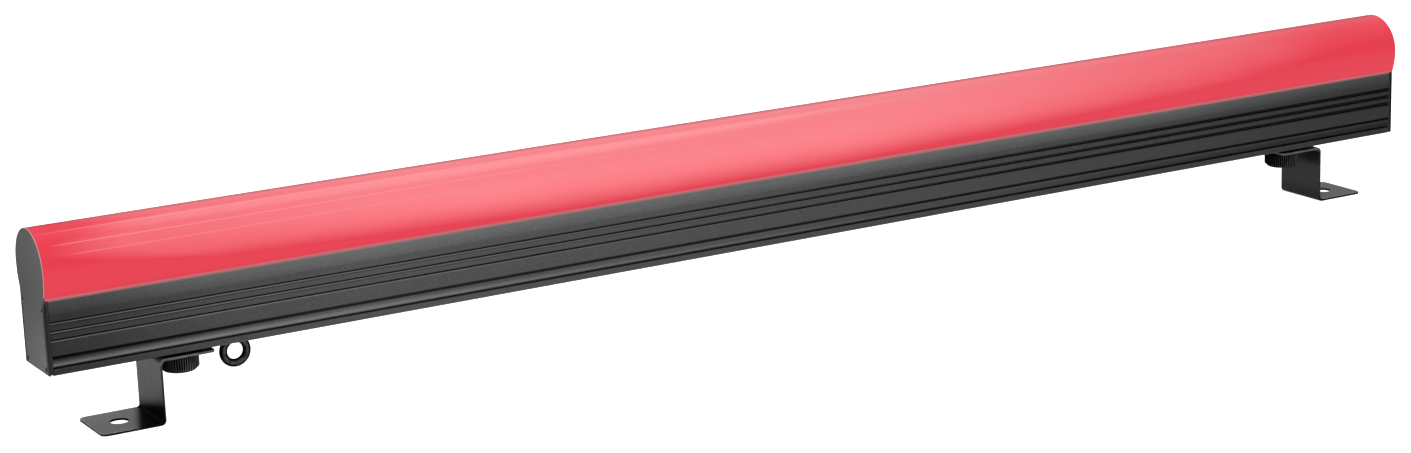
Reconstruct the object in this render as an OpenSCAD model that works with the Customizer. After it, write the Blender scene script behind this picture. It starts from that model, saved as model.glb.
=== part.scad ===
// Linear LED batten for stage and display use: an extruded aluminium housing with a
// milky dome cover, two sliding and swivelling Z feet, and a safety eye, all held in
// one T-slot along the underside.
// Frame: X along the batten, Y to the rear, Z up. The origin is on the plane the feet
// stand on, midway between the two foot holes. The front faces -Y. Units: millimetres.

/* [Batten] */
// Overall length over both end caps
overall_len = 1000; // [1000:50:1200]
// Width of the aluminium housing
body_w = 40; // [40:0.5:44]
// Height of the aluminium housing, from its underside to the cover's seam
body_h = 44; // [44:0.5:50]
// Radius of the cover's domed top
dome_r = 23; // [22:0.5:25]
// Height of the dome's centre above the housing's underside
dome_z = 59.5; // [58:0.5:64]
// Wall of the milky cover
cover_t = 1.6; // [1.2:0.1:2.0]

/* [End caps] */
// Thickness of each end cap plate
cap_t = 1; // [1:0.25:2]
// Thickness of the seal behind each end cap
seal_t = 1.75; // [1:0.25:2]

/* [Feet] */
// Height from the standing plane to the housing's underside
foot_h = 41; // [36:1:60]
// Width of the sheet-metal foot
foot_w = 40.5; // [30:0.5:44]
// Sheet thickness of the foot
sheet_t = 1.5; // [1.5:0.25:2.5]
// Distance from the batten's middle to each foot's clamp screw
clamp_x = 415.2; // [405:0.1:420]
// Distance from the clamp screw to the outer face of the foot's leg
leg_off = 19.3; // [18:0.1:21]
// Length of the part of the foot that stands on the floor
toe_len = 37.7; // [30:0.1:45]
// Length of the upper flange under the housing
flange_len = 34.5; // [33:0.5:36]
// Diameter of the fixing hole in each foot
foot_hole_d = 11; // [8.5:0.5:12]
// Distance from the leg to the centre of the fixing hole
foot_hole_off = 19.9; // [16:0.1:20]

/* [Clamp screws] */
// Radius of the knurled knob
knob_r = 11.6; // [10:0.1:12]
// Height of the knurled knob
knob_h = 10.9; // [8:0.1:12]
// Number of ridges round the knob
knob_ridges = 50; // [24:2:56]
// Thickness of the friction washer between foot and housing
spacer_t = 1.5; // [1:0.1:3]

/* [Safety eye] */
// Distance from the batten's middle to the safety eye
eye_x = 380.5; // [370:0.5:382]
// Radius of the ring, to the middle of its wire
eye_ring_r = 7.4; // [7:0.1:9]
// Radius of the ring's wire
eye_wire_r = 2.45; // [2:0.05:3]

/* [Light engine] */
// Number of LEDs on each of the two boards
leds_per_board = 30; // [10:5:30]
// Width of the LED boards
led_board_w = 26; // [20:1:26]

/* [Sockets] */
// Distance from the batten's middle to each rear socket
socket_x = 455; // [440:1:465]
// Height of the socket's centre above the housing's underside
socket_z = 24; // [23.5:0.1:24.5]

/* [Hidden] */

$fn = 64;
over = 1;                              // how far a cutter runs past the face it opens

// Colours used by more than one node
black = [0.05, 0.05, 0.05];
soft_black = [0.06, 0.06, 0.06];
charcoal = [0.1, 0.1, 0.1];
grey = [0.6, 0.6, 0.6];
socket_grey = [0.55, 0.55, 0.56];
nut_grey = [0.6, 0.6, 0.62];
steel = [0.7, 0.7, 0.72];
gold = [0.85, 0.7, 0.3];
board_white = [0.93, 0.93, 0.92];

// Housing: section heights are measured from its underside
half_w = body_w / 2;
body_z = foot_h;                       // the housing's underside
end_x = overall_len / 2;               // outer face of the right end cap
prof_len = overall_len - 2 * (cap_t + seal_t);
wall = 2.2;                            // side wall
floor_z = 10;                          // floor of the electronics bay
shelf_z = body_h - 6.5;                // top face of the shelf that carries the LED boards
shelf_t = 2;
slot_w = 8.2;                          // mouth of the T-slot
lip_t = 2.2;                           // lips either side of the mouth
chan_w = 14.4;                         // inside width of the T-slot
chan_h = 5.8;                          // inside height of the T-slot
port_r = 1.45;                         // screw ports in the housing's ends
port_hi = [half_w - 3.3, shelf_z + 0.6];
port_lo = [half_w - 4.5, 3.2];
port_places = [for (p = [port_hi, port_lo], side = [-1, 1]) [side * p[0], p[1]]];
boss_r = 2.8;                          // metal round each port

// Cover
cover_len = overall_len - 2 * cap_t;   // runs on past the seals to the end caps
flank_r = (pow(dome_r - half_w, 2) + pow(dome_z - body_h, 2)) / (2 * (dome_r - half_w));
tongue_out = half_w - 1.8;             // outer face of the cover's tongue
tongue_in = half_w - 3.4;              // inner face of the cover's tongue
tongue_gap = 0.2;                      // play on each side of the tongue in its groove
tongue_groove_z = shelf_z + 3.4;

// Boards
pcb_t = 1.6;
board_top = shelf_z + pcb_t;           // top face of the LED boards
led_pitch = (overall_len - 10) / (2 * leds_per_board);
// Screws stand midway between LEDs, at these multiples of the pitch
board_screw_k = [for (i = [0:4]) 1 + round(i * (leds_per_board - 2) / 4)];
driver_x = -438;                       // left end of the driver board
driver_len = 170;
driver_lift = 1.2;                     // driver board above the bay's floor
driver_top = body_z + floor_z + driver_lift + pcb_t;
feed_x = -312;                         // where the feed wires rise through the shelf
feed_y = 10;                           // the middle feed wire
feed_ys = [for (k = [-1, 0, 1]) feed_y + k * 1.9];

// Sockets: distances to the rear of the batten's middle plane
seat_y = half_w - 0.95;                // where the seal sits
socket_back = half_w - 8.5;            // inner end of the shell and insert
pin_back = half_w - 9.2;               // inner end of the pins
pin_circle_r = 3;

// Clamps
screw_r = 2.98;
thread_top = body_z + lip_t + 5.4;     // upper end of the screws in the T-slot
washer_t = 1.6;
washer_bore_r = 3.2;
flange_top = body_z - spacer_t;
knob_top = flange_top - sheet_t - washer_t;

// ---------- helpers ----------
function arc(centre, r, from, to, steps) = [for (i = [0:steps])
    let (a = from + (to - from) * i / steps) centre + r * [cos(a), sin(a)]];
function reversed(points) = [for (i = [len(points) - 1:-1:0]) points[i]];
function flip(points) = [for (p = reversed(points)) [-p[0], p[1]]];

// A round bar standing between two heights.
module rod(r, from, to) { translate([0, 0, from]) cylinder(r = r, h = to - from); }
// A cutter for a through hole in a plate that stands on z = 0.
module hole(r, depth) { rod(r, -over, depth + over); }
module ring(r, bore_r, h) {
    difference() {
        cylinder(r = r, h = h);
        hole(bore_r, h);
    }
}
// Crossed slots in a screw head.
module cross_slots(len, width, z, depth) {
    for (a = [0, 90]) rotate([0, 0, a])
        translate([-len / 2, -width / 2, z]) cube([len, width, depth]);
}

// Sections are drawn as (y, z); along_x stands one up from x, for length len.
module along_x(x, len) {
    translate([x, 0, body_z]) rotate([90, 0, 90]) linear_extrude(len) children();
}
module band(y_a, y_b, z_a, z_b) { translate([y_a, z_a]) square([y_b - y_a, z_b - z_a]); }
module mid_band(half, z_a, z_b) { band(-half, half, z_a, z_b); }
module both_sides() {
    children();
    mirror([1, 0]) children();
}
module at_ports() { for (p = port_places) translate(p) children(); }
module tongue_grooves() {
    both_sides() band(tongue_in - tongue_gap, tongue_out + tongue_gap,
                      tongue_groove_z, body_h + over);
}
module led_channel() { mid_band(half_w - 6.4, shelf_z, body_h + over); }

// ---------- housing ----------
// Flank grooves have a steep upper wall and a sloping lower wall.
groove_z = [21.0, 26.1, 31.2];
groove_below = 0.85;                   // from the groove's middle down to its lower edge
groove_above = 0.3;                    // from the groove's middle up to its upper edge
function groove(z) = [for (dz = [-0.12, 0.12]) [half_w - 0.9, z + dz]];
// A shallow convex rib from groove k to the one above it.
function rib(k) = let (z_a = groove_z[k] + groove_above, z_b = groove_z[k + 1] - groove_below)
    [for (i = [0:6]) let (u = i / 6) [half_w - 0.16 * pow(2 * u - 1, 2), z_a + (z_b - z_a) * u]];
// The rear flank, from the underside up.
function flank_points() = let (top = groove_z[2], bow_z = top + 3.9) concat(
    [[half_w - 0.6, 0], [half_w, 0.6], [half_w, 3.75]],
    // rounded channel along the flank
    [[half_w - 1.5, 4.1], [half_w - 1.85, 4.45]],
    arc([half_w - 3, 7.2], 3, -60, 52, 12),
    [[half_w - 1.3, 9.9], [half_w - 1.3, 10.7], [half_w - 0.25, 11.0], [half_w, 11.4]],
    [[half_w, groove_z[0] - groove_below]],
    groove(groove_z[0]), rib(0), groove(groove_z[1]), rib(1), groove(top),
    [[half_w - 0.22, top + groove_above], [half_w - 0.1, top + 1.8], [half_w, top + 3.8]],
    // gentle inward bow up to the seam
    [for (i = [1:8]) let (u = i / 8)
        [half_w - 0.5 * u * u, bow_z + (body_h - 0.3 - bow_z) * u]],
    [[half_w - 0.85, body_h]]);

module housing_section() {
    rail_y = half_w - wall - 2;
    rail_gap = 0.1;                    // play above and below the driver board
    upper_rail_z = floor_z + driver_lift + pcb_t + rail_gap;
    difference() {
        polygon(concat(flank_points(), flip(flank_points())));
        // electronics bay, with guide rails for the driver board
        difference() {
            mid_band(half_w - wall, floor_z, shelf_z - shelf_t);
            both_sides() {
                band(rail_y, half_w, floor_z - 1, floor_z + driver_lift - rail_gap);
                band(rail_y, half_w, upper_rail_z, upper_rail_z + 1);
                translate(port_hi) circle(boss_r);
            }
        }
        // pockets beside the T-slot
        both_sides() difference() {
            band(chan_w / 2 + 1.9, half_w - 3, lip_t, floor_z - 1.8);
            translate(port_lo) circle(boss_r);
        }
        // T-slot
        mid_band(slot_w / 2, -over, lip_t + 1);
        mid_band(chan_w / 2, lip_t, lip_t + chan_h);
        // open channel above the shelf, wider towards the top
        led_channel();
        mid_band(half_w - 4.8, shelf_z + 3, body_h + over);
        // grooves that take the cover's tongues
        tongue_grooves();
        // rails stand lower than the outer walls
        mid_band(half_w - 3.5, body_h - 0.6, body_h + over);
        at_ports() circle(port_r);
    }
}

module housing_profile() {
    color([0.16, 0.16, 0.17]) difference() {
        along_x(-prof_len / 2, prof_len) housing_section();
        // seats for the rear sockets
        for (side = [-1, 1]) at_socket(side) {
            rod(7.1, half_w - 4, half_w + 2);
            rod(10.3, seat_y, seat_y + 3);
        }
        // holes for the LED board screws, and a way through the shelf for the feed wires
        at_board_screws(shelf_z - shelf_t) hole(1.5, shelf_t);
        translate([feed_x, feed_y, body_z + shelf_z - shelf_t]) hole(3.2, shelf_t);
    }
}

// ---------- cover ----------
// The rear flank, from z_low up to the dome's widest point, set in by inset.
function cover_flank(inset, z_low) = let (r = flank_r - inset)
    arc([dome_r - flank_r, dome_z], r, -asin((dome_z - z_low) / r), 0, 8);
// Outline over the top, from the rear foot round to the front foot.
function cover_arch(inset, z_low) = concat(
    cover_flank(inset, z_low),
    arc([0, dome_z], dome_r - inset, 4, 176, 43),
    flip(cover_flank(inset, z_low)));

module cover_section() {
    inner_z = body_h + 1.5;            // where the inner face meets the tongue
    tip_z = tongue_groove_z + 0.4;
    tongue = [[tongue_in, inner_z], [tongue_in, tip_z], [tongue_out, tip_z],
              [tongue_out, body_h]];
    polygon(concat(cover_arch(0, body_h), flip(tongue),
                   reversed(cover_arch(cover_t, inner_z)), tongue));
}
module cover_diffuser() {
    color([0.9, 0.27, 0.33]) along_x(-cover_len / 2, cover_len) cover_section();
}

// ---------- end caps: drawn for the left end ----------
module at_cap_ports(inset) {
    for (p = port_places)
        translate([-end_x + inset, p[0], body_z + p[1]]) rotate([0, 90, 0]) children();
}
module cap_outline() {
    r = 1;                             // lower corners
    polygon(concat(cover_arch(0, body_h),
                   arc([-half_w + r, r], r, 180, 270, 4),
                   arc([half_w - r, r], r, 270, 360, 4)));
}
module left_end_cap() {
    color([0.3, 0.3, 0.31]) difference() {
        along_x(-end_x, cap_t) cap_outline();
        at_cap_ports(0) {
            hole(1.55, cap_t);
            translate([0, 0, -0.01]) cylinder(r1 = 2.36, r2 = 1.62, h = 0.82);
        }
    }
}
module right_end_cap() { mirror([1, 0, 0]) left_end_cap(); }

module left_end_seal() {
    color(black) along_x(-end_x + cap_t, seal_t) difference() {
        mid_band(half_w - 0.5, 0.5, body_h - 0.3);
        tongue_grooves();
        mid_band(half_w - 7, 12, shelf_z - 4);
        led_channel();
        at_ports() circle(1.6);
    }
}
module right_end_seal() { mirror([1, 0, 0]) left_end_seal(); }

// Countersunk screw with a pointed tip, its head's face on z = 0.
module cap_screw() {
    shank_r = 1.4;
    difference() {
        union() {
            cylinder(r1 = 2.3, r2 = 1.5, h = 0.8);
            rod(shank_r, 0.7, 9);
            translate([0, 0, 8.8]) cylinder(r1 = shank_r, r2 = 0.4, h = 1.4);
        }
        cross_slots(len = 2.4, width = 0.44, z = -1, depth = 1.65);
    }
}
module left_cap_screws() { color([0.1, 0.1, 0.11]) at_cap_ports(0.02) cap_screw(); }
module right_cap_screws() { mirror([1, 0, 0]) left_cap_screws(); }

// ---------- light engine ----------
led_side = 5;
led_recess_r = 1.85;
led_recess_z = 0.9;                    // floor of the recess above the board

module at_board_screws(z, sides = [-1, 1]) {
    for (side = sides, k = board_screw_k)
        translate([side * k * led_pitch, 0, body_z + z]) children();
}
// One board, less its screw holes and any children.
module led_board(side) {
    mid_gap = 0.2;                     // from the batten's middle to the board
    end_gap = 1.5;                     // from the housing's end to the board
    x = side > 0 ? mid_gap : -prof_len / 2 + end_gap;
    difference() {
        translate([x, -led_board_w / 2, body_z + shelf_z])
            cube([prof_len / 2 - mid_gap - end_gap, led_board_w, pcb_t]);
        at_board_screws(shelf_z, [side]) hole(1.7, pcb_t);
        children();
    }
}
module left_led_board() {
    color(board_white) led_board(-1)
        for (y = feed_ys) translate([feed_x, y, body_z + shelf_z]) hole(0.7, pcb_t);
}
module right_led_board() { color(board_white) led_board(1); }

module at_left_leds() {
    for (i = [0:leds_per_board - 1])
        translate([-(i + 0.5) * led_pitch, 0, body_z + board_top]) children();
}
module left_leds() {
    color([0.95, 0.95, 0.93]) at_left_leds() difference() {
        translate([-led_side / 2, -led_side / 2, 0]) cube([led_side, led_side, 1.4]);
        translate([0, 0, led_recess_z]) cylinder(r = led_recess_r, h = 1, $fn = 32);
    }
}
module right_leds() { mirror([1, 0, 0]) left_leds(); }
module left_led_windows() {
    color([0.95, 0.3, 0.25]) at_left_leds()
        translate([0, 0, led_recess_z]) cylinder(r = led_recess_r - 0.01, h = 0.45, $fn = 32);
}
module right_led_windows() { mirror([1, 0, 0]) left_led_windows(); }

module led_board_screws() {
    color([0.75, 0.75, 0.77]) at_board_screws(board_top) difference() {
        union() {
            cylinder(r = 2.5, h = 1.5, $fn = 32);
            rod(1.45, -4.6, 0.2, $fn = 32);
        }
        cross_slots(len = 2.6, width = 0.5, z = 0.7, depth = 1.5);
    }
}

// Block across the joint of the two boards, with four square holes at each end.
module board_link_connector() {
    size = [16, 6, 2.6];
    hole_w = 0.7;
    color([0.93, 0.92, 0.88]) translate([0, 6.5, body_z + board_top]) difference() {
        translate([-size[0] / 2, -size[1] / 2, 0]) cube(size);
        for (side = [-1, 1], k = [-1.5:1:1.5])
            translate([side * 6 - hole_w / 2, k * 1.2 - hole_w / 2, 1])
                cube([hole_w, hole_w, 3]);
    }
}

// ---------- driver electronics ----------
header_size = [7, 10, 6];
plug_z = driver_top + header_size[2] / 2; // height of the wires in the headers

// Places a part on the driver board, x from the board's left end.
module on_driver(x, y = 0) { translate([driver_x + x, y, driver_top]) children(); }

module driver_board() {
    half = half_w - wall - 0.3;
    color([0.07, 0.35, 0.18]) translate([driver_x, -half, driver_top - pcb_t])
        cube([driver_len, 2 * half, pcb_t]);
}
module driver_chips() {
    size = [10, 6, 1.7];
    leg_out = 1.4;                     // how far the legs stand out on each side
    color([0.08, 0.08, 0.08]) for (x = [30, 75, 120]) on_driver(x, -6) {
        translate([0, 0, 0.2]) cube(size);
        for (k = [0:6]) translate([0.8 + k * 1.3, -leg_out, 0])
            cube([0.5, size[1] + 2 * leg_out, 0.35]);
    }
}
module driver_inductor() {
    color([0.35, 0.35, 0.36]) on_driver(56, -1) {
        for (z = [0, 6]) translate([0, 0, z]) cylinder(r = 6, h = 1.2, $fn = 48);
        rod(4.2, 1, 6.2, $fn = 48);
    }
}
module driver_capacitors() {
    cans = [[16, 7, 4, 11], [104, 7, 4, 11], [148, -7, 3.2, 9]]; // x, y, radius, height
    color([0.12, 0.14, 0.25]) for (can = cans) on_driver(can[0], can[1]) {
        r = can[2];
        h = can[3];
        cylinder(r = r, h = h, $fn = 40);
        translate([0, 0, h - 0.2]) cylinder(r1 = r - 0.4, r2 = r - 0.8, h = 0.5, $fn = 40);
    }
}
// A plug header with its mouth facing -X.
module header() {
    translate([0, -header_size[1] / 2, 0]) difference() {
        cube(header_size);
        translate([-over, 1, 1.4]) cube([6.8, 8, 3.6]);
    }
}
module driver_headers() {
    end_gap = 2;
    color([0.92, 0.9, 0.84]) {
        on_driver(end_gap) header();
        on_driver(driver_len - end_gap) mirror([1, 0, 0]) header();
        on_driver(feed_x + 8 - driver_x, feed_y) header();
    }
}

// ---------- wires ----------
// A wire run through points, with a slightly fuller ball at each corner.
module wire(points, r) {
    for (i = [0:len(points) - 2]) {
        run = points[i + 1] - points[i];
        translate(points[i]) rotate([0, acos(run[2] / norm(run)), atan2(run[1], run[0])])
            cylinder(r = r, h = norm(run), $fn = 20);
    }
    for (i = [1:len(points) - 2]) translate(points[i]) sphere(r * 1.12, $fn = 24);
}
// From each socket's pin at (dx, dz) off its axis, across to y, down to the headers'
// height, and along the bay into the header at that end of the driver board.
module socket_wires(dx, dz, y) {
    for (side = [-1, 1]) {
        x = side * socket_x + dx;
        z = body_z + socket_z + dz;
        plug_x = side < 0 ? driver_x + 6 : driver_x + driver_len - 6;
        wire([[x, pin_back, z], [x, y, z], [x, y, plug_z], [plug_x, y, plug_z]], 0.8);
    }
}
pin_off = pin_circle_r * cos(45);
wire_gap = 2.8;
module power_wires() { color([0.8, 0.08, 0.06]) socket_wires(-pin_off, -pin_off, wire_gap); }
module return_wires() { color(black) socket_wires(pin_off, -pin_off, 0); }
module data_wires() { color([0.1, 0.6, 0.25]) socket_wires(pin_off, pin_off, -wire_gap); }
module led_feed_wires() {
    color([0.9, 0.75, 0.1]) for (y = feed_ys)
        wire([[feed_x + 12, y, plug_z], [feed_x, y, plug_z],
              [feed_x, y, body_z + board_top + 0.4]], 0.6);
}

// ---------- rear sockets: built facing +Z, then laid to the rear ----------
module at_socket(side) {
    translate([side * socket_x, 0, body_z + socket_z]) rotate([-90, 0, 0]) children();
}
module at_pins() {
    for (a = [45:90:315]) rotate([0, 0, a]) translate([pin_circle_r, 0, 0]) children();
}
module socket_shell() {
    difference() {
        union() {
            rod(10, seat_y + 0.5, seat_y + 2.5);      // flange
            rod(8, seat_y + 2, seat_y + 10.4);        // outer collar
            rod(7, socket_back, seat_y + 1);          // barrel through the wall
        }
        rod(6.6, seat_y + 3, seat_y + 23);
        rod(5.6, half_w - 10, half_w + 10);
        translate([5.9, -1, seat_y + 6]) cube([1.4, 2, 10]); // notch inside the collar
    }
}
module socket_insert(face_r, face_h) {
    difference() {
        union() {
            rod(5.58, socket_back, seat_y + 3.1);
            rod(face_r, seat_y + 3, seat_y + 3 + face_h);
        }
        at_pins() rod(0.75, half_w - 9.5, half_w + 20.5, $fn = 24);
    }
}
module socket_pins(tip) { at_pins() rod(0.74, pin_back, tip, $fn = 24); }
module socket_seal() { translate([0, 0, seat_y]) ring(9.8, 7.15, 0.5); }
module socket_nut() {
    nut_t = 2.6;
    translate([0, 0, half_w - wall - nut_t]) difference() {
        cylinder(r = 9.2, h = nut_t, $fn = 6);
        hole(7.03, nut_t);
    }
}
module input_socket_shell() { color(socket_grey) at_socket(-1) socket_shell(); }
module input_socket_insert() { color(soft_black) at_socket(-1) socket_insert(6.55, 0.6); }
module input_socket_pins() { color(gold) at_socket(-1) socket_pins(seat_y + 8.6); }
module input_socket_seal() { color(charcoal) at_socket(-1) socket_seal(); }
module input_socket_nut() { color(grey) at_socket(-1) socket_nut(); }
module output_socket_shell() { color(socket_grey) at_socket(1) socket_shell(); }
module output_socket_insert() { color(soft_black) at_socket(1) socket_insert(6, 6); }
module output_socket_contacts() { color(gold) at_socket(1) socket_pins(seat_y + 6.5); }
module output_socket_seal() { color(charcoal) at_socket(1) socket_seal(); }
module output_socket_nut() { color(grey) at_socket(1) socket_nut(); }

// ---------- feet: sheet metal bent to a Z, drawn for the left end ----------
leg_x = -clamp_x - leg_off;            // outer face of the leg
toe_x = leg_x - toe_len;               // free end of the toe
flange_x = leg_x + flange_len;         // free end of the flange
bend_in = 1.7;                         // inside bend radius
bend_out = bend_in + sheet_t;

// Side view, as (x, z).
module bracket_section() {
    toe_bend = [leg_x - bend_in, bend_out];
    flange_bend = [leg_x + bend_out, flange_top - bend_out];
    polygon(concat(
        [[toe_x, sheet_t], [toe_x, 0]],
        arc(toe_bend, bend_out, 270, 360, 10),
        arc(flange_bend, bend_in, 180, 90, 8),
        [[flange_x, flange_top - sheet_t], [flange_x, flange_top]],
        arc(flange_bend, bend_out, 90, 180, 10),
        arc(toe_bend, bend_in, 360, 270, 8)));
}
// Top view, with the corners of toe and flange rounded.
module bracket_plan() {
    toe_r = 4;
    flange_r = 2.5;
    half = foot_w / 2;
    polygon(concat(
        arc([toe_x + toe_r, toe_r - half], toe_r, 180, 270, 8),
        arc([flange_x - flange_r, flange_r - half], flange_r, 270, 360, 8),
        arc([flange_x - flange_r, half - flange_r], flange_r, 0, 90, 8),
        arc([toe_x + toe_r, half - toe_r], toe_r, 90, 180, 8)));
}
module left_bracket() {
    color([0.13, 0.13, 0.13]) difference() {
        intersection() {
            translate([0, foot_w / 2 + over, 0]) rotate([90, 0, 0])
                linear_extrude(foot_w + 2 * over) bracket_section();
            translate([0, 0, -over]) linear_extrude(body_z + 2 * over) bracket_plan();
        }
        translate([-clamp_x, 0, flange_top - sheet_t]) hole(3.3, sheet_t);
        translate([leg_x - foot_hole_off, 0, 0]) hole(foot_hole_d / 2, sheet_t);
    }
}
module right_bracket() { mirror([1, 0, 0]) left_bracket(); }

// ---------- clamp screws ----------
knob_floor = 2;                        // from the end of the knob's bore to its lower end
// Four points to each ridge, set in from the knob's radius by these depths.
knurl_depths = [0, 0.2, 0.75, 0.55];
function knurl() = let (n = knob_ridges * 4) [for (i = [0:n - 1])
    let (a = 360 * i / n, r = knob_r - knurl_depths[i % 4]) r * [cos(a), sin(a)]];

// Built with z running down from the washer.
module knob() {
    end_r = knob_r - 0.95;             // where the tapers meet the knurling
    taper_h = 1.7;
    translate([0, 0, knob_top]) mirror([0, 0, 1]) difference() {
        union() {
            cylinder(r = 7, h = 0.6);
            translate([0, 0, 0.5]) cylinder(r1 = knob_r - 1.7, r2 = end_r, h = 0.9);
            translate([0, 0, 1.3]) linear_extrude(knob_h - 2.9) polygon(knurl());
            translate([0, 0, knob_h - taper_h])
                cylinder(r1 = end_r, r2 = knob_r - 2.4, h = taper_h);
        }
        rod(3, -over, knob_h - knob_floor);
        translate([0, 0, knob_h - 0.8]) cylinder(r = 7, h = 2); // recess in the lower end
    }
}
module knob_screw() { rod(screw_r, knob_top - knob_h + knob_floor + 0.05, thread_top); }
module plain_washer() { translate([0, 0, knob_top]) ring(9, washer_bore_r, washer_t); }
module friction_washer() { translate([0, 0, flange_top]) ring(11, washer_bore_r, spacer_t); }
module slide_nut() {
    size = [16, chan_w - 0.4, 5];
    translate([0, 0, body_z + lip_t + 0.05]) difference() {
        translate([-size[0] / 2, -size[1] / 2, 0]) cube(size);
        hole(screw_r + 0.06, size[2]);
    }
}
module at_clamp(side) { translate([side * clamp_x, 0, 0]) children(); }
module left_knob() { color(soft_black) at_clamp(-1) knob(); }
module right_knob() { color(soft_black) at_clamp(1) knob(); }
module left_knob_screw() { color(steel) at_clamp(-1) knob_screw(); }
module right_knob_screw() { color(steel) at_clamp(1) knob_screw(); }
module left_washer() { color(steel) at_clamp(-1) plain_washer(); }
module right_washer() { color(steel) at_clamp(1) plain_washer(); }
module left_spacer() { color(black) at_clamp(-1) friction_washer(); }
module right_spacer() { color(black) at_clamp(1) friction_washer(); }
module left_slide_nut() { color(nut_grey) at_clamp(-1) slide_nut(); }
module right_slide_nut() { color(nut_grey) at_clamp(1) slide_nut(); }

// ---------- safety eye ----------
module safety_eye() {
    eye_z = body_z - 0.45 - eye_ring_r - eye_wire_r;
    bore_r = eye_ring_r - eye_wire_r + 0.12; // leaves a short flat land inside the ring
    color([0.12, 0.12, 0.12]) translate([-eye_x, 0, 0]) difference() {
        union() {
            translate([0, 0, eye_z]) rotate([90, 0, 0]) rotate_extrude($fn = 96)
                translate([eye_ring_r, 0]) circle(eye_wire_r, $fn = 48);
            rod(screw_r, eye_z + eye_ring_r, thread_top);
        }
        translate([0, 5, eye_z]) rotate([90, 0, 0]) cylinder(r = bore_r, h = 10, $fn = 96);
    }
}
module safety_eye_nut() { color(nut_grey) translate([-eye_x, 0, 0]) slide_nut(); }

housing_profile();
cover_diffuser();
left_end_cap();
right_end_cap();
left_end_seal();
right_end_seal();
left_cap_screws();
right_cap_screws();
left_led_board();
right_led_board();
left_leds();
right_leds();
left_led_windows();
right_led_windows();
led_board_screws();
board_link_connector();
driver_board();
driver_chips();
driver_inductor();
driver_capacitors();
driver_headers();
led_feed_wires();
power_wires();
return_wires();
data_wires();
input_socket_shell();
input_socket_insert();
input_socket_pins();
input_socket_seal();
input_socket_nut();
output_socket_shell();
output_socket_insert();
output_socket_contacts();
output_socket_seal();
output_socket_nut();
left_bracket();
right_bracket();
left_knob();
right_knob();
left_knob_screw();
right_knob_screw();
left_washer();
right_washer();
left_spacer();
right_spacer();
left_slide_nut();
right_slide_nut();
safety_eye();
safety_eye_nut();
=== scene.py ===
# A bar light: a black extrusion under a domed cover that glows red, with a plate on each end,
# two bent sheet feet held by clamp knobs, a safety eye below and two round sockets behind.
# The bar lies along X, centred on the origin. Y runs across it, its rear is at +Y, and Z is up
# from the floor at 0. The left end is at -X.
import math
from functools import cached_property
from math import cos, hypot, pi, sin

import bmesh
import bpy
from mathutils import Matrix, Vector
from mathutils.geometry import tessellate_polygon


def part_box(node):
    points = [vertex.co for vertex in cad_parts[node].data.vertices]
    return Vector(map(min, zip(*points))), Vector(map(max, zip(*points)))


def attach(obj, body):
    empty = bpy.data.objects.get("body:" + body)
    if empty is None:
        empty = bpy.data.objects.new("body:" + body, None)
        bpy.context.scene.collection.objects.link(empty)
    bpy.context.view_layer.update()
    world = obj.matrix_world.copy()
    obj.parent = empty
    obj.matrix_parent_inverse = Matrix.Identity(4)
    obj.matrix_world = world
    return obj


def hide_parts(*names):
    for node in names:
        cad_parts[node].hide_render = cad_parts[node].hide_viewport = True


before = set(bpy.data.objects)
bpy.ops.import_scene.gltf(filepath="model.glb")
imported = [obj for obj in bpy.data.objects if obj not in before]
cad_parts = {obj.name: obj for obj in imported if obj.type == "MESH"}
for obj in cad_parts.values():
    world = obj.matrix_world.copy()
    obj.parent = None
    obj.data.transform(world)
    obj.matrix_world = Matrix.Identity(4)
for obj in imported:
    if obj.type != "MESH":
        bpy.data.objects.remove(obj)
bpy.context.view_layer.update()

MM = 0.001


def rad(degrees):
    return degrees * pi / 180.0


# ------------------------------------------------------------------ sizes (mm)
def box_mm(node):
    lo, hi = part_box(node)
    return [v * 1000 for v in lo], [v * 1000 for v in hi]


def middle(node, axis):
    """The middle of a part's box along one axis."""
    lo, hi = box_mm(node)
    return (lo[axis] + hi[axis]) / 2


house_lo, house_hi = box_mm("housing_profile")
cover_lo, cover_hi = box_mm("cover_diffuser")
cap_lo, cap_hi = box_mm("left_end_cap")
BASE = house_lo[2]                       # underside of the housing; outlines count up from it
HALF_W = house_hi[1]
BODY_H = house_hi[2] - BASE
SEAM = BASE + BODY_H                     # where the cover meets the housing
COVER_X0, COVER_X1 = cover_lo[0], cover_hi[0]
DOME_R = cover_hi[1]
TOP = cover_hi[2]
DOME_Z = TOP - DOME_R - BASE             # dome centre
COVER_T = 1.6
CAP_T = cap_hi[0] - cap_lo[0]
CAP_X = abs(cap_lo[0])                   # outer face of either end plate
GROOVES = (21.0, 26.1, 31.2)             # heights of the three grooves in each flank
SHELF = BODY_H - 6.5                     # floor of the tray under the cover
SCREW_HI = (HALF_W - 3.3, SHELF + 0.6)   # end screws on the +Y side, as (y, z)
SCREW_LO = (HALF_W - 4.5, 3.2)
SCREWS = [(s * y, z) for y, z in (SCREW_HI, SCREW_LO) for s in (-1, 1)]
SOCKET_Y = HALF_W - 0.95                 # floor of the round recess behind each socket flange


# ------------------------------------------------------------------ node-graph helpers
def operator(operation, swap=False):
    """A Python operator that adds a Math node."""
    def apply(self, other):
        first, second = (other, self) if swap else (self, other)
        return self.mat.math(operation, first, second)
    return apply


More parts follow.
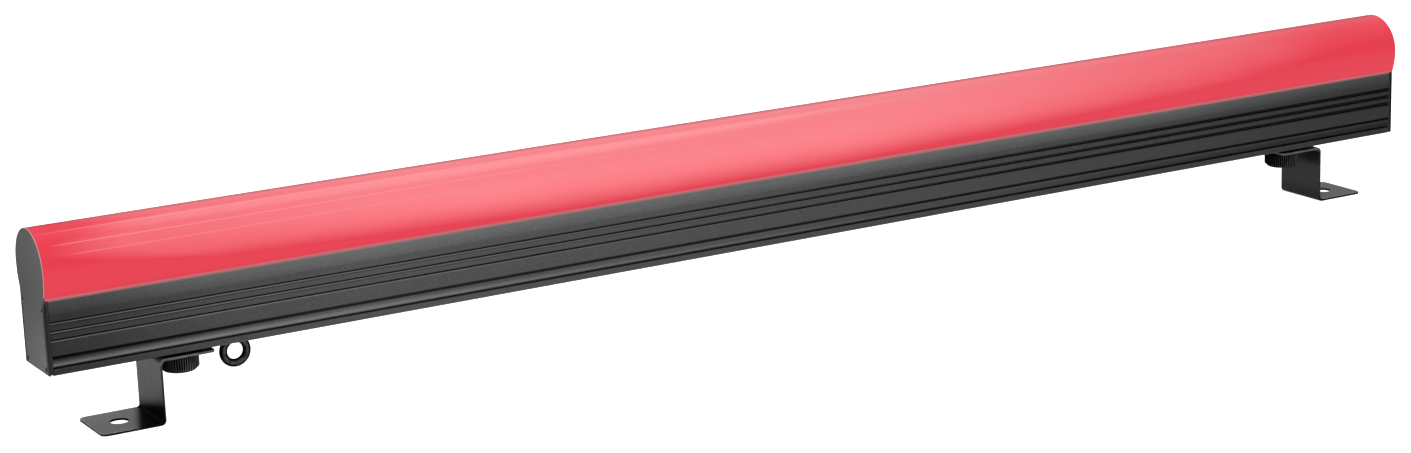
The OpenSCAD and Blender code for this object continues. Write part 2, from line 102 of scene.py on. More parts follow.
class Wire:
    """A node's output. Arithmetic and the methods below add nodes that read it."""

    def __init__(self, mat, socket):
        self.mat = mat
        self.socket = socket

    __add__ = operator("ADD")
    __radd__ = operator("ADD", swap=True)
    __sub__ = operator("SUBTRACT")
    __rsub__ = operator("SUBTRACT", swap=True)
    __mul__ = operator("MULTIPLY")
    __truediv__ = operator("DIVIDE")
    __pow__ = operator("POWER")

    def __abs__(self):
        return self.mat.math("ABSOLUTE", self)

    def remap(self, span, to=(0.0, 1.0), kind="LINEAR"):
        """Carries span to the two values of to, and holds them beyond it."""
        inputs = dict(enumerate((self, *span, *to)))
        return self.mat.wire("MapRange", inputs, interpolation_type=kind, clamp=True)

    def ease(self, span, to=(0.0, 1.0)):
        """As remap, with a smooth start and end."""
        return self.remap(span, to, "SMOOTHSTEP")

    def near(self, centre, reach):
        """1 at centre, falling smoothly to 0 at reach on both sides."""
        return abs(self - centre).ease((0.0, reach), to=(1.0, 0.0))

    def curve(self, stops):
        """Piecewise-linear lookup in {position: value}."""
        positions = list(stops)
        lo, hi = positions[0], positions[-1]
        top = max(stops.values())
        node = self.mat.node("ValToRGB", {0: self.remap((lo, hi))})
        elements = node.color_ramp.elements
        for i, position in enumerate(positions):
            place = (position - lo) / (hi - lo)
            element = elements[i] if i < 2 else elements.new(place)
            element.position = place
            level = stops[position] / top
            element.color = (level, level, level, 1)
        return Wire(self.mat, node.outputs[0]) * top

    def blend(self, first, second, clamp=True):
        """A colour from first (at 0) to second (at 1)."""
        inputs = {0: self, 6: first, 7: second}
        return self.mat.wire("Mix", inputs, 2, data_type="RGBA", clamp_factor=clamp)

    def gain(self, colour):
        """The colour multiplied by this value, above 1 too."""
        return self.blend(BLACK, colour, clamp=False)

    def bump(self, strength, distance, over=None):
        inputs = {"Strength": strength, "Distance": distance, "Height": self}
        if over is not None:
            inputs["Normal"] = over
        return self.mat.wire("Bump", inputs)


class Material:
    """A material with one Principled shader, built from expressions."""

    INPUTS = {"color": "Base Color", "rough": "Roughness", "metal": "Metallic",
              "spec": "Specular IOR Level", "emit": "Emission Color",
              "strength": "Emission Strength", "normal": "Normal"}

    def __init__(self, name):
        self.data = bpy.data.materials.new(name)
        self.data.use_nodes = True
        self.tree = self.data.node_tree
        self.tree.nodes.clear()
        output = self.node("OutputMaterial")
        self.shader = self.node("BsdfPrincipled")
        self.tree.links.new(self.shader.outputs[0], output.inputs[0])

    def node(self, kind, inputs=None, **settings):
        node = self.tree.nodes.new("ShaderNode" + kind)
        for key, value in settings.items():
            setattr(node, key, value)
        for key, value in (inputs or {}).items():
            self.put(node.inputs[key], value)
        return node

    def put(self, socket, value):
        if isinstance(value, Wire):
            self.tree.links.new(value.socket, socket)
        else:
            socket.default_value = (*value, 1.0) if socket.type == "RGBA" else value

    def wire(self, kind, inputs=None, output=0, **settings):
        return Wire(self, self.node(kind, inputs, **settings).outputs[output])

    @cached_property
    def position(self):
        return self.wire("TexCoord", output="Object")

    def axes(self, vector=None):
        """The x, y and z of a vector, by default the object coordinates in metres."""
        node = self.node("SeparateXYZ", {0: vector or self.position})
        return [Wire(self, socket) for socket in node.outputs]

    def normal(self):
        return self.axes(self.wire("NewGeometry", output="Normal"))

    def math(self, operation, first, second=0.0, clamp=False):
        inputs = {0: first, 1: second, 2: 0.0}
        return self.wire("Math", inputs, operation=operation, use_clamp=clamp)

    def max(self, first, second):
        return self.math("MAXIMUM", first, second)

    def stretched(self, scale):
        return self.wire("Mapping", {"Scale": scale, 0: self.position})

    def noise(self, scale, detail=4, rough=0.6, stretch=None):
        vector = self.stretched(stretch) if stretch else self.position
        return self.wire("TexNoise", {"Scale": scale, "Detail": detail, "Roughness": rough,
                                      "Vector": vector})

    def speckle(self, amount):
        """A fine variation in tone around 1."""
        return 1.0 + (self.noise(820, detail=2, rough=0.7) - 0.5) * amount

    def facing(self, span):
        """0 where the surface faces the viewer, 1 where it is seen at a slant."""
        return self.wire("LayerWeight", {"Blend": 0.5}, "Facing").ease(span)

    def attr(self, name):
        return self.wire("Attribute", output="Fac", attribute_name=name)

    def surface(self, **values):
        """Sets the shader's inputs and returns the finished material."""
        for key, value in values.items():
            self.put(self.shader.inputs[self.INPUTS[key]], value)
        return self.data


# ------------------------------------------------------------------ materials
# The vertex attribute "edge" runs from 1 on outward corners to -1 in hollows; from it the materials
# paint highlights on the corners and shade in the hollows. "bead" marks the round bead low on each
# flank, and the feet carry one more attribute, the painted shade in their bends. Curves over x run
# from the left end at -0.5 m to the right end at 0.5 m.
def grey(level):
    return (level, level, level)


BLACK = grey(0.0)
MID = (0.3, 0.7)                         # the range most of a noise texture lies in
COVER_RED = (0.16, 0.008, 0.014)


def mm_span(start, end):
    return (start * MM, end * MM)


def anodised():
    """Satin black extrusion: drawn lines, with painted light that is brightest left of the middle
    and duller towards both ends, painted shade in the grooves and painted highlights on the bead
    and lips.
    """
    mat = Material("anodised_black")
    x, y, z = mat.axes()
    lines = mat.noise(1.0, detail=5, rough=0.62, stretch=(9, 2600, 2600))
    broad = mat.noise(1.0, detail=3, rough=0.5, stretch=(3, 60, 60))
    fine = mat.noise(2600, detail=2, rough=0.5)
    edge = mat.attr("edge")
    bead = mat.attr("bead")
    height = z * 1000.0 - BASE

    # painted light along the bar, brightest left of the middle and dimmer towards both ends,
    # then painted lighter bands above the grooves and on the bead
    tone = x.curve({-0.5: 0.42, -0.47: 0.50, -0.40: 0.90, -0.30: 1.17, -0.1: 1.09, 0.1: 0.89,
                    0.3: 0.69, 0.46: 0.52, 0.5: 0.47})
    upper = z.ease(mm_span(BASE + 34.5, BASE + 37))
    rise = z.remap(mm_span(BASE + 36, BASE + 43.8))
    tone *= 1.0 + (
        upper * x.curve({-0.5: 0.34, -0.3: 0.35, 0.1: 0.32, 0.3: 0.50, 0.46: 0.12, 0.5: 0.08})
        + rise * x.curve({-0.5: 0.95, -0.3: 0.60, 0.1: 1.15, 0.3: 1.45, 0.5: 1.20}))
    # the bead: a painted highlight, strongest at the left end and low on the bead there; its top
    # gets painted shade at the left and a painted highlight to the right
    bead_gain = x.curve({-0.5: 2.9, -0.47: 2.7, -0.3: 1.95, -0.1: 1.30, 0.1: 1.0, 0.3: 0.97,
                         0.5: 0.93})
    tone *= 1.0 + bead * (bead_gain - 1.0)
    bead_low = height.near(centre=5.6, reach=1.5)
    tone *= 1.0 + bead_low * x.curve({-0.5: 2.2, -0.3: 1.6, -0.1: 0.9, 0.1: 0.25, 0.3: 0.0})
    bead_top = height.near(centre=8.9, reach=1.3)
    tone *= 1.0 - bead_top * (1.0 - x.curve({-0.5: 0.5, -0.3: 1.0, -0.1: 1.35, 0.1: 1.5,
                                             0.5: 1.5}))
    # painted shade in the notch above the bead
    notch = (height.remap((9.55, 9.8)) * height.remap((11.35, 11.75), to=(1.0, 0.0))
             * x.curve({-0.5: 0.97, -0.3: 0.80, 0.0: 0.80, 0.5: 0.80}))

    # soft shade around the grooves, deeper towards the right-hand end
    shade = 0.0
    reach = x.curve({-0.5: 0.60, -0.3: 0.66, -0.1: 1.0, 0.2: 1.65, 0.5: 2.2})
    for groove_z in GROOVES:
        away = abs((height - groove_z) * 0.001 - x.curve({-0.3: 0.0, 0.0: 0.00025}))
        shade = mat.max(shade, 1.0 - (away * 1000.0).ease((reach * 0.35, reach)))
    shade *= x.curve({-0.5: 0.80, -0.3: 0.66, -0.1: 0.62, 0.1: 0.76, 0.3: 0.90, 0.5: 0.95})
    shade *= abs(y).remap(mm_span(HALF_W - 1.5, HALF_W - 1.2))
    tone *= 1.0 - shade

    # a painted highlight on the lip below each groove and a line of painted shade below the lips
    # of the upper two, both strongest at the left end
    lip = 0.0
    for groove_z in GROOVES:
        lip = mat.max(lip, height.near(centre=groove_z - 0.88, reach=0.46))
    tone *= 1.0 + lip * x.curve({-0.5: 3.4, -0.42: 2.8, -0.30: 1.5, -0.1: 0.5, 0.1: 0.0})
    under = mat.max(*(height.near(centre=GROOVES[i] - 1.5, reach=0.55) for i in (1, 2)))
    tone *= 1.0 - under * x.curve({-0.5: 0.60, -0.3: 0.42, -0.1: 0.2, 0.1: 0.0})
    # painted shade over the middle of the bead towards the right-hand end
    bead_mid = height.near(centre=6.6, reach=2.2)
    tone *= 1.0 - bead_mid * x.curve({0.1: 0.0, 0.3: 0.30, 0.5: 0.50})
    tone *= 0.94 + (broad - 0.5) * 0.35
    tone *= mat.speckle(amount=0.62)

    base = tone.gain(lines.remap(MID).blend((0.026, 0.027, 0.028), (0.038, 0.039, 0.040)))
    # painted highlight on outward corners, broken up by noise
    glint_noise = mat.noise(700, detail=3, rough=0.55).remap((0.35, 0.6), to=(0.15, 0.7))
    base = (mat.max(edge, 0.0) * glint_noise).blend(base, (0.085, 0.085, 0.088))
    # painted shade in the hollows that the edge attribute marks, and in the notch
    hollow = mat.max(edge * -1.0, 0.0)
    dark = mat.max(notch, hollow * x.curve({-0.5: 0.92, -0.3: 0.80, 0.0: 0.86, 0.5: 0.98}))
    dark *= abs(y).remap(mm_span(HALF_W - 2.4, HALF_W - 2.2))
    normal = lines.bump(strength=0.12, distance=0.00004)
    # the top rim catches the cover's light
    rim = height.ease((BODY_H - 1.3, BODY_H - 0.2))
    return mat.surface(
        color=dark.blend(base, grey(0.002)),
        rough=lines.remap((0.25, 0.75), to=(0.34, 0.46)) + (broad - 0.5) * 0.10,
        spec=mat.math("MINIMUM", tone, 2.0) * 0.50 * (1.0 - dark),
        normal=fine.bump(strength=0.14, distance=0.00003, over=normal),
        emit=rim.blend(BLACK, (0.19, 0.085, 0.085)),
        strength=1.0)


# columns of the painted reflected streaks: angle up round the dome from -Y and half width
# (degrees), x where the streak starts, x where it begins to fade, strength
STREAKS = (
    (64.5, 1.3, -0.500, -0.38, 0.75),
    (40.5, 1.3, -0.496, -0.35, 1.10),
    (24, 1.3, -0.488, -0.455, 0.80),
    (58, 1.4, -0.250, -0.02, 0.40),
)


def lit_cover():
    """Milky cover lit from inside: along the middle a painted reflection of a soft light turns it
    pink; it is deeper red at its foot, where shade is painted, and at its ends, where the painted
    reflection fades.
    """
    mat = Material("cover_red_lit")
    x, y, z = mat.axes()
    down = (TOP * MM - z) / ((TOP - SEAM) * MM)
    fall = mat.max(down, 0.0001) ** 2.5 * 1.35 - 0.1
    angle = mat.math("ARCTAN2", z - (BASE + DOME_Z) * MM, y * -1.0)

    # how far the start of the painted reflection shifts to the right at each angle
    lead = angle.curve({rad(-35): 0.085, rad(-20): 0.066, rad(-5): 0.042, rad(10): 0.014,
                        rad(25): 0.0, rad(42): 0.0, rad(55): 0.024, rad(68): 0.030,
                        rad(90): 0.022})
    from_lead = x - lead
    end = COVER_X0 * MM
    level = (from_lead.remap((end + 0.004, end + 0.050), to=(0.0, 0.52))
             + from_lead.remap((end + 0.045, end + 0.25), to=(0.0, 0.5))
             - x.curve({0.04: 0.0, 0.20: 0.29, 0.35: 0.62, 0.44: 0.96, 0.47: 1.02}))
    mottle = mat.noise(14, stretch=(1.0, 3.0, 3.0)) - 0.5
    reflection_mask = mat.math("ADD", level - fall, mottle * 0.16, clamp=True).remap((0.0, 1.0))
    colour = reflection_mask.blend((0.605, 0.030, 0.054), (0.750, 0.212, 0.235))

    # scales the painted reflection: more low on the dome, less high on it
    even = angle.curve({rad(-35): 0.22, rad(-10): 0.30, rad(10): 0.28, rad(30): 0.20,
                        rad(46): 0.16, rad(60): 0.10, rad(90): 0.13})
    colour = (1.0 + reflection_mask * (even - 0.20)).gain(colour)

    # painted reflections: faint lighter lines along the cover
    streaks = 0.0
    for at, width, start, stop, strength in STREAKS:
        wobble = (mat.noise(1.0, detail=2, rough=0.5, stretch=(6, 0.01, 0.01)) - 0.5) * rad(2.5)
        line = (angle + wobble).near(rad(at), rad(width))
        fade = x.ease((start, start + 0.016)) * x.ease((stop, stop + 0.40), to=(1.0, 0.0))
        streaks = streaks + line * fade * strength
    colour = (streaks * 0.55).blend(colour, (0.80, 0.33, 0.35))
    # painted highlight on corners that the edge attribute marks
    colour = mat.max(mat.attr("edge"), 0.0).blend(colour, (0.66, 0.33, 0.35))
    # painted shade where the dome is seen at a slant
    graze = mat.facing((0.60, 0.86))
    colour = (graze * 0.90).blend(colour, (0.24, 0.02, 0.035))
    # painted shade, deeper red, low on the dome above the seam
    foot = z.ease(mm_span(SEAM + 0.5, SEAM + 5.5), to=(0.36, 0.0))
    colour = foot.blend(colour, (0.46, 0.022, 0.045))
    # a pale painted highlight along the seam, weaker at the right-hand end
    seam = z.ease(mm_span(SEAM + 0.5, SEAM + 2.0), to=(0.74, 0.0))
    colour = (seam * x.curve({0.30: 1.0, 0.5: 0.70})).blend(colour, (0.35, 0.155, 0.16))

    lines = mat.noise(1.0, stretch=(5, 900, 900))
    # low on the dome the gloss dies away at the left end
    gloss = mat.max(x.ease((end + 0.012, end + 0.058), to=(0.12, 1.0)),
                    angle.ease((rad(18), rad(40)), to=(1.0, 0.0)))
    return mat.surface(
        color=COVER_RED,
        rough=mat.noise(60, detail=5).remap(MID, to=(0.16, 0.24)),
        spec=graze.remap((0.0, 1.0), to=(0.24, 0.03)) * gloss,
        emit=colour,
        strength=1.0,
        normal=lines.bump(strength=0.06, distance=0.00005))


def cap_coat():
    """End plate: fine-grained powder coat with painted light and shade, and a painted glow and
    highlight from the lit cover above the seam.
    """
    mat = Material("cap_powder_coat")
    x, y, z = mat.axes()
    across = mm_span(HALF_W, -HALF_W)
    grain = mat.noise(1500)
    blotch = mat.noise(38)
    base = blotch.remap(MID).blend((0.0205, 0.0220, 0.0220), (0.030, 0.032, 0.032))
    # painted light: lighter low down and towards -Y
    low = z.ease(mm_span(SEAM - 6, BASE + 4))
    lean = y.remap(across, to=(0.25, 1.0))
    base = (low * lean * 0.50).blend(base, (0.092, 0.092, 0.094))
    # painted light, stronger towards -Y and weaker around the seam's height; the gloss follows it
    band = z.near(centre=(BASE + 44) * MM, reach=0.036)
    tilt = y.remap(across, to=(0.78, 1.16)) * (1.0 - band * 0.22)
    base = (tilt * mat.speckle(amount=0.5)).gain(base)

    # painted highlight on the outer face's rim, pink above the seam; behind it the plate's side,
    # with a painted red glow above the seam
    depth = CAP_X - abs(x) * 1000.0
    rim = (0.34, 0.50)
    rim_highlight = mat.max(mat.attr("edge"), 0.0) * depth.remap(rim, to=(1.0, 0.0))
    side = depth.remap(rim)
    above = z.remap(mm_span(SEAM + 1, SEAM + 3))
    base = (rim_highlight * (above * 0.45 + 0.06)).blend(base, (0.60, 0.45, 0.45))
    # painted shade: a dark strip near both flanks below the seam
    strip = (abs(y).remap(mm_span(HALF_W - 3.3, HALF_W - 2.7))
             * z.remap(mm_span(SEAM - 3, SEAM), to=(1.0, 0.0)))
    base = (strip * 0.85).blend(base, grey(0.004))
    rim_glow = (rim_highlight * above).blend(BLACK, (0.30, 0.12, 0.13))
    return mat.surface(
        color=(side * above).blend(base, COVER_RED),
        rough=grain.remap(MID, to=(0.42, 0.58)),
        spec=tilt * 0.40 * (1.0 - strip * 0.8),
        normal=grain.bump(strength=0.22, distance=0.00006),
        emit=(side * above).blend(rim_glow, (0.55, 0.026, 0.050)),
        strength=1.0)


def coated_steel(name, tones, edge_highlight, rough, spec, lift=0.0, fall=0.0):
    """Coated steel: orange peel, fine grain, painted highlights on outward edges, painted shade in
    hollows and in the feet's bends.

    lift gives painted light to upward faces near the floor. fall paints shade on faces that turn
    from the viewer and on those that face -X, and a painted highlight in the gloss of faces
    turned to +X and down."""
    mat = Material(name)
    peel = mat.noise(900, detail=3, rough=0.5)
    grain = mat.noise(4200, detail=2, rough=0.5)
    blotch = mat.noise(45)
    base = mat.speckle(amount=0.5).gain(blotch.remap(MID).blend(*tones))
    edge = mat.attr("edge")
    # painted highlight on outward edges, broken up by noise
    glint_noise = mat.noise(420).remap((0.38, 0.62), to=(0.15, 0.85))
    base = (mat.max(edge, 0.0) * glint_noise).blend(base, edge_highlight)
    if lift:
        # painted light on upward faces near the floor
        low = mat.axes()[2].remap((0.004, 0.008), to=(1.0, 0.0))
        base = (1.0 + mat.normal()[2].ease((0.75, 0.97)) * low * lift).gain(base)
    # painted shade in hollows and in the feet's bends
    dark = mat.max(mat.max(edge * -1.0, 0.0) * 0.9, mat.attr("bend_shade") * 0.985)
    if fall:
        # painted shade at the outline and on faces turned to -X
        dark = mat.max(dark, mat.facing((0.03, 0.30)) * fall)
        dark = mat.max(dark, mat.normal()[0].ease((-0.70, 0.05), to=(0.94, 0.0)))
    gloss = (1.0 - dark) * spec
    if fall:
        # a painted highlight in the gloss of faces turned to +X and down
        normal_x, _, normal_z = mat.normal()
        gloss *= (mat.noise(520, detail=3).remap((0.35, 0.65), to=(0.45, 1.6))
                  + (normal_x - normal_z).ease((0.45, 1.0)) * 1.2)
    normal = peel.bump(strength=0.22, distance=0.00012)
    return mat.surface(
        color=dark.blend(base, grey(0.001)),
        rough=blotch.remap(MID, to=rough),
        spec=gloss,
        normal=grain.bump(strength=0.12, distance=0.00003, over=normal))


def rubber():
    """Matt black with a little dust."""
    mat = Material("rubber_black")
    grain = mat.noise(1900)
    dust = mat.noise(90, detail=5, rough=0.65)
    return mat.surface(
        color=dust.remap((0.45, 0.8)).blend(grey(0.008), (0.026, 0.025, 0.024)),
        rough=grain.remap(MID, to=(0.62, 0.80)),
        spec=0.3,
        normal=grain.bump(strength=0.3, distance=0.00006))


def knob_plastic():
    """Black moulding: painted highlights on the rib crests, painted shade in the hollows and on
    faces turned to -X.
    """
    mat = Material("knob_moulded")
    grain = mat.noise(2400, detail=3)
    blotch = mat.noise(160, detail=3)
    edge = mat.attr("edge")
    base = blotch.remap(MID).blend((0.003, 0.003, 0.0032), (0.007, 0.007, 0.0072))
    # painted highlight on the rib crests
    crest = mat.max(edge, 0.0)
    base = (crest * blotch.remap((0.35, 0.62), to=(0.35, 1.0))).blend(base, grey(0.26))
    # painted shade in the hollows and on faces turned to -X
    dark = mat.max(mat.max(edge * -1.0, 0.0),
                   mat.normal()[0].ease((-0.85, 0.0), to=(0.92, 0.0)))
    return mat.surface(
        color=dark.blend(base, grey(0.0005)),
        rough=grain.remap(MID, to=(0.34, 0.50)),
        spec=(1.0 - dark) * (0.16 + crest * 0.3),
        normal=grain.bump(strength=0.25, distance=0.00005))


def screw_oxide():
    """Black oxide screw heads: fine grain, painted shade in the recess in the middle of each."""
    mat = Material("screw_black_oxide")
    _, y, z = mat.axes()
    grain = mat.noise(1800, detail=3)
    nearest = 9.0
    for screw_y, screw_z in (SCREW_HI, SCREW_LO):
        off_y = abs(y) - screw_y * MM
        off_z = z - (screw_z + BASE) * MM
        distance = mat.math("SQRT", off_y * off_y + off_z * off_z)
        nearest = mat.math("MINIMUM", nearest, distance)
    # painted shade over the middle of each head
    dark = nearest.ease((0.0011, 0.0017), to=(0.97, 0.0))
    base = grain.remap(MID).blend((0.010, 0.010, 0.011), (0.018, 0.018, 0.019))
    return mat.surface(
        color=dark.blend(base, grey(0.0005)),
        rough=grain.remap(MID, to=(0.32, 0.48)),
        spec=(1.0 - dark) * 0.30,
        normal=grain.bump(strength=0.2, distance=0.00004))


def metal(name, tones, rough, scale=1200.0):
    """Plated metal: fine grain, small stains."""
    mat = Material(name)
    grain = mat.noise(scale, stretch=(1, 1, 1))
    stain = mat.noise(130, detail=5, rough=0.65)
    return mat.surface(
        color=stain.remap((0.35, 0.7)).blend(*tones),
        metal=1.0,
        rough=grain.remap(MID, to=rough),
        normal=grain.bump(strength=0.12, distance=0.00003))


def plastic(name, tones, rough, scale=1600.0, **glow):
    mat = Material(name)
    grain = mat.noise(scale, detail=3)
    blotch = mat.noise(scale / 14)
    return mat.surface(
        color=blotch.remap(MID).blend(*tones),
        rough=grain.remap(MID, to=rough),
        normal=grain.bump(strength=0.15, distance=0.00004),
        **glow)


def circuit_board(name, tones, track):
    """Solder mask over copper, the tracks showing faintly."""
    mat = Material(name)
    cells = mat.wire("TexVoronoi", {"Scale": 420, "Vector": mat.stretched((0.25, 1, 1))},
                     "Distance", feature="DISTANCE_TO_EDGE")
    tracks = cells.remap((0.02, 0.10), to=(1.0, 0.0))
    base = mat.noise(220, rough=0.55).remap(MID).blend(*tones)
    return mat.surface(
        color=(tracks * 0.5).blend(base, track),
        rough=mat.noise(900, detail=3, rough=0.55).remap(MID, to=(0.22, 0.36)),
        spec=0.55,
        normal=tracks.bump(strength=0.3, distance=0.00003))


ANODISED = anodised()
COVER = lit_cover()
CAP = cap_coat()
SHEET = coated_steel("sheet_powder_coat", tones=((0.016, 0.016, 0.017), (0.024, 0.024, 0.025)),
                     edge_highlight=(0.16, 0.16, 0.165), rough=(0.40, 0.55), spec=0.5, lift=5.0)
EYE = coated_steel("eye_black_zinc", tones=((0.008, 0.008, 0.009), (0.034, 0.034, 0.036)),
                   edge_highlight=(0.15, 0.15, 0.155), rough=(0.20, 0.36), spec=0.62, fall=0.985)
RUBBER = rubber()
KNOB = knob_plastic()
ZINC = metal("zinc_plate", (grey(0.50), (0.62, 0.62, 0.60)), rough=(0.24, 0.42), scale=1500.0)
NICKEL = metal("nickel_plate", ((0.52, 0.51, 0.49), (0.62, 0.61, 0.58)), rough=(0.16, 0.30),
               scale=1900.0)
GOLD = metal("contact_gold", ((0.78, 0.56, 0.22), (0.86, 0.65, 0.30)), rough=(0.16, 0.26))
WHITE_BOARD = circuit_board("board_white", ((0.80, 0.80, 0.78), (0.88, 0.88, 0.86)),
                            track=(0.70, 0.70, 0.68))
GREEN_BOARD = circuit_board("board_green", ((0.010, 0.10, 0.032), (0.016, 0.14, 0.045)),
                            track=(0.03, 0.20, 0.07))
LED_BODY = plastic("led_body", ((0.80, 0.80, 0.76), (0.88, 0.88, 0.84)), rough=(0.25, 0.4))
LED_RED = plastic("led_window_lit", ((0.8, 0.05, 0.03), (0.9, 0.08, 0.04)), rough=(0.2, 0.3),
                  emit=(1.0, 0.06, 0.03), strength=2.0)
CHIP = plastic("chip_mould", (grey(0.012), grey(0.022)), rough=(0.5, 0.65))
FERRITE = plastic("ferrite_core", ((0.05, 0.05, 0.052), (0.08, 0.08, 0.083)),
                  rough=(0.45, 0.65), scale=2600.0)
CAN = plastic("can_sleeve", ((0.010, 0.014, 0.07), (0.014, 0.02, 0.10)), rough=(0.22, 0.34))
IVORY = plastic("plug_ivory", ((0.66, 0.61, 0.48), (0.74, 0.69, 0.56)), rough=(0.35, 0.5))
INSULATOR = plastic("socket_insulator", ((0.012, 0.012, 0.013), (0.02, 0.02, 0.021)),
                    rough=(0.38, 0.52))
WIRE_ROUGH = (0.3, 0.45)
WIRE_RED = plastic("wire_red", ((0.42, 0.012, 0.008), (0.52, 0.018, 0.012)), WIRE_ROUGH)
WIRE_BLACK = plastic("wire_black", (grey(0.010), grey(0.018)), WIRE_ROUGH)
WIRE_GREEN = plastic("wire_green", ((0.012, 0.20, 0.04), (0.018, 0.27, 0.06)), WIRE_ROUGH)
WIRE_YELLOW = plastic("wire_yellow", ((0.62, 0.38, 0.01), (0.72, 0.46, 0.015)), WIRE_ROUGH)


# ------------------------------------------------------------------ outline helpers
def arc(cx, cy, radius, start, end, steps):
    """Points round an arc, angles in degrees."""
    angles = [rad(start + (end - start) * i / steps) for i in range(steps + 1)]
    return [(cx + radius * cos(a), cy + radius * sin(a)) for a in angles]


def circle(cx, cy, radius, count):
    angles = [2 * pi * i / count for i in range(count)]
    return [(cx + radius * cos(a), cy + radius * sin(a)) for a in angles]


def flip(points):
    """The mirror image across the middle, in reverse order."""
    return [(-a, b) for a, b in reversed(points)]


def plain(points):
    """An outline with no edge marks."""
    return [(a, b, 0.0) for a, b in points]


def clean(points, gap=1e-4):
    """Drops points that repeat the one before."""
    kept = []
    for point in points:
        if not kept or math.dist(point, kept[-1]) > gap:
            kept.append(point)
    if math.dist(kept[0], kept[-1]) < gap:
        kept.pop()
    return kept


def area(points):
    return 0.5 * sum(points[i - 1][0] * points[i][1] - points[i][0] * points[i - 1][1]
                     for i in range(len(points)))


def unit(start, end):
    """Direction and distance from start to end."""
    across, up = end[0] - start[0], end[1] - start[1]
    length = hypot(across, up)
    return (across / length, up / length), length


def offset(point, direction, distance):
    return (point[0] + direction[0] * distance, point[1] + direction[1] * distance)


def fillet(points, radius=0.2):
    """Rounds the corners of an outline and returns (y, z, edge) points."""
    min_turn, steps = 14, 4              # degrees; segments in each rounded corner
    pad, pad_room = 0.12, 0.5            # extra point beside a corner, where there is room
    points = clean(points)
    if area(points) < 0:
        points = points[::-1]
    out = []
    for i, corner in enumerate(points):
        back, back_len = unit(corner, points[i - 1])
        ahead, ahead_len = unit(corner, points[(i + 1) % len(points)])
        cross = back[1] * ahead[0] - back[0] * ahead[1]
        dot = -back[0] * ahead[0] - back[1] * ahead[1]
        turn = math.degrees(math.atan2(cross, dot))
        if abs(turn) < min_turn:
            out.append((*corner, 0.0))
            continue
        half = rad(180 - abs(turn)) / 2
        run = min(radius / math.tan(half), 0.42 * back_len, 0.42 * ahead_len)
        bend = run * math.tan(half)
        sign = 1.0 if turn > 0 else -1.0
        mid = (back[0] + ahead[0], back[1] + ahead[1])
        mid_len = hypot(*mid)
        centre = (corner[0] + mid[0] / mid_len * bend / sin(half),
                  corner[1] + mid[1] / mid_len * bend / sin(half))
        first = offset(corner, back, run)
        last = offset(corner, ahead, run)
        if back_len > run * 2 + pad_room:
            out.append((*offset(first, back, pad), 0.0))
        start = math.atan2(first[1] - centre[1], first[0] - centre[0])
        end = math.atan2(last[1] - centre[1], last[0] - centre[0])
        sweep = (end - start + pi) % (2 * pi) - pi
        for j in range(steps + 1):
            angle = start + sweep * j / steps
            out.append((centre[0] + bend * cos(angle), centre[1] + bend * sin(angle),
                        sign if 0 < j < steps else sign * 0.8))
        if ahead_len > run * 2 + pad_room:
            out.append((*offset(last, ahead, pad), 0.0))
    return out


# ------------------------------------------------------------------ mesh helpers
def new_mesh():
    """An empty mesh and its "edge" attribute."""
    bm = bmesh.new()
    return bm, bm.verts.layers.float.new("edge")


def add_ring(bm, layer, entries):
    """Adds a vertex for each (place, attribute value)."""
    ring = []
    for place, value in entries:
        v = bm.verts.new(place)
        v[layer] = value
        ring.append(v)
    return ring


def skin(bm, rings, closed=False):
    """Joins each ring to the next with faces. A ring of one vertex is a pole."""
    count = max(len(ring) for ring in rings)
    for p, q in zip(rings, rings[1:] + (rings[:1] if closed else [])):
        for i in range(count):
            j = (i + 1) % count
            quad = (p[i % len(p)], p[j % len(p)], q[j % len(q)], q[i % len(q)])
            corners = list(dict.fromkeys(quad))
            if len(corners) > 2:
                bm.faces.new(corners)


def fill(bm, rings, flatten):
    """Fills the first ring, leaving the others as holes. flatten gives a vertex in 2D."""
    verts = [v for ring in rings for v in ring]
    for tri in tessellate_polygon([[flatten(v) for v in ring] for ring in rings]):
        # guards against a triangle that repeats a vertex or a face that is already there
        try:
            bm.faces.new([verts[i] for i in tri])
        except ValueError:
            pass


def make_object(name, bm, material, smooth=True):
    mesh = bpy.data.meshes.new(name)
    bm.normal_update()
    bm.to_mesh(mesh)
    bm.free()
    obj = bpy.data.objects.new(name, mesh)
    bpy.context.scene.collection.objects.link(obj)
    mesh.materials.append(material)
    if smooth:
        mesh.polygons.foreach_set("use_smooth", [True] * len(mesh.polygons))
    return obj


def sharpen(obj, degrees=32):
    """Marks open edges and those that turn more than the angle as sharp."""
    bm = bmesh.new()
    bm.from_mesh(obj.data)
    for e in bm.edges:
        e.smooth = not (len(e.link_faces) != 2 or e.calc_face_angle(0) > rad(degrees))
    bm.to_mesh(obj.data)
    bm.free()
    return obj


def finish_mesh(name, bm, material, degrees):
    bmesh.ops.recalc_face_normals(bm, faces=bm.faces)
    return sharpen(make_object(name, bm, material), degrees)


def weight_normals(obj):
    modifier = obj.modifiers.new("wn", "WEIGHTED_NORMAL")
    modifier.keep_sharp = True
    modifier.weight = 80


def cut(obj, tools, operation="DIFFERENCE"):
    """Applies a boolean with each tool, then removes the tools."""
    for tool in tools:
        modifier = obj.modifiers.new("cut", "BOOLEAN")
        modifier.operation = operation
        modifier.solver = "EXACT"
        modifier.object = tool
    graph = bpy.context.evaluated_depsgraph_get()
    mesh = bpy.data.meshes.new_from_object(obj.evaluated_get(graph))
    obj.modifiers.clear()
    obj.data = mesh
    for tool in tools:
        bpy.data.objects.remove(tool)


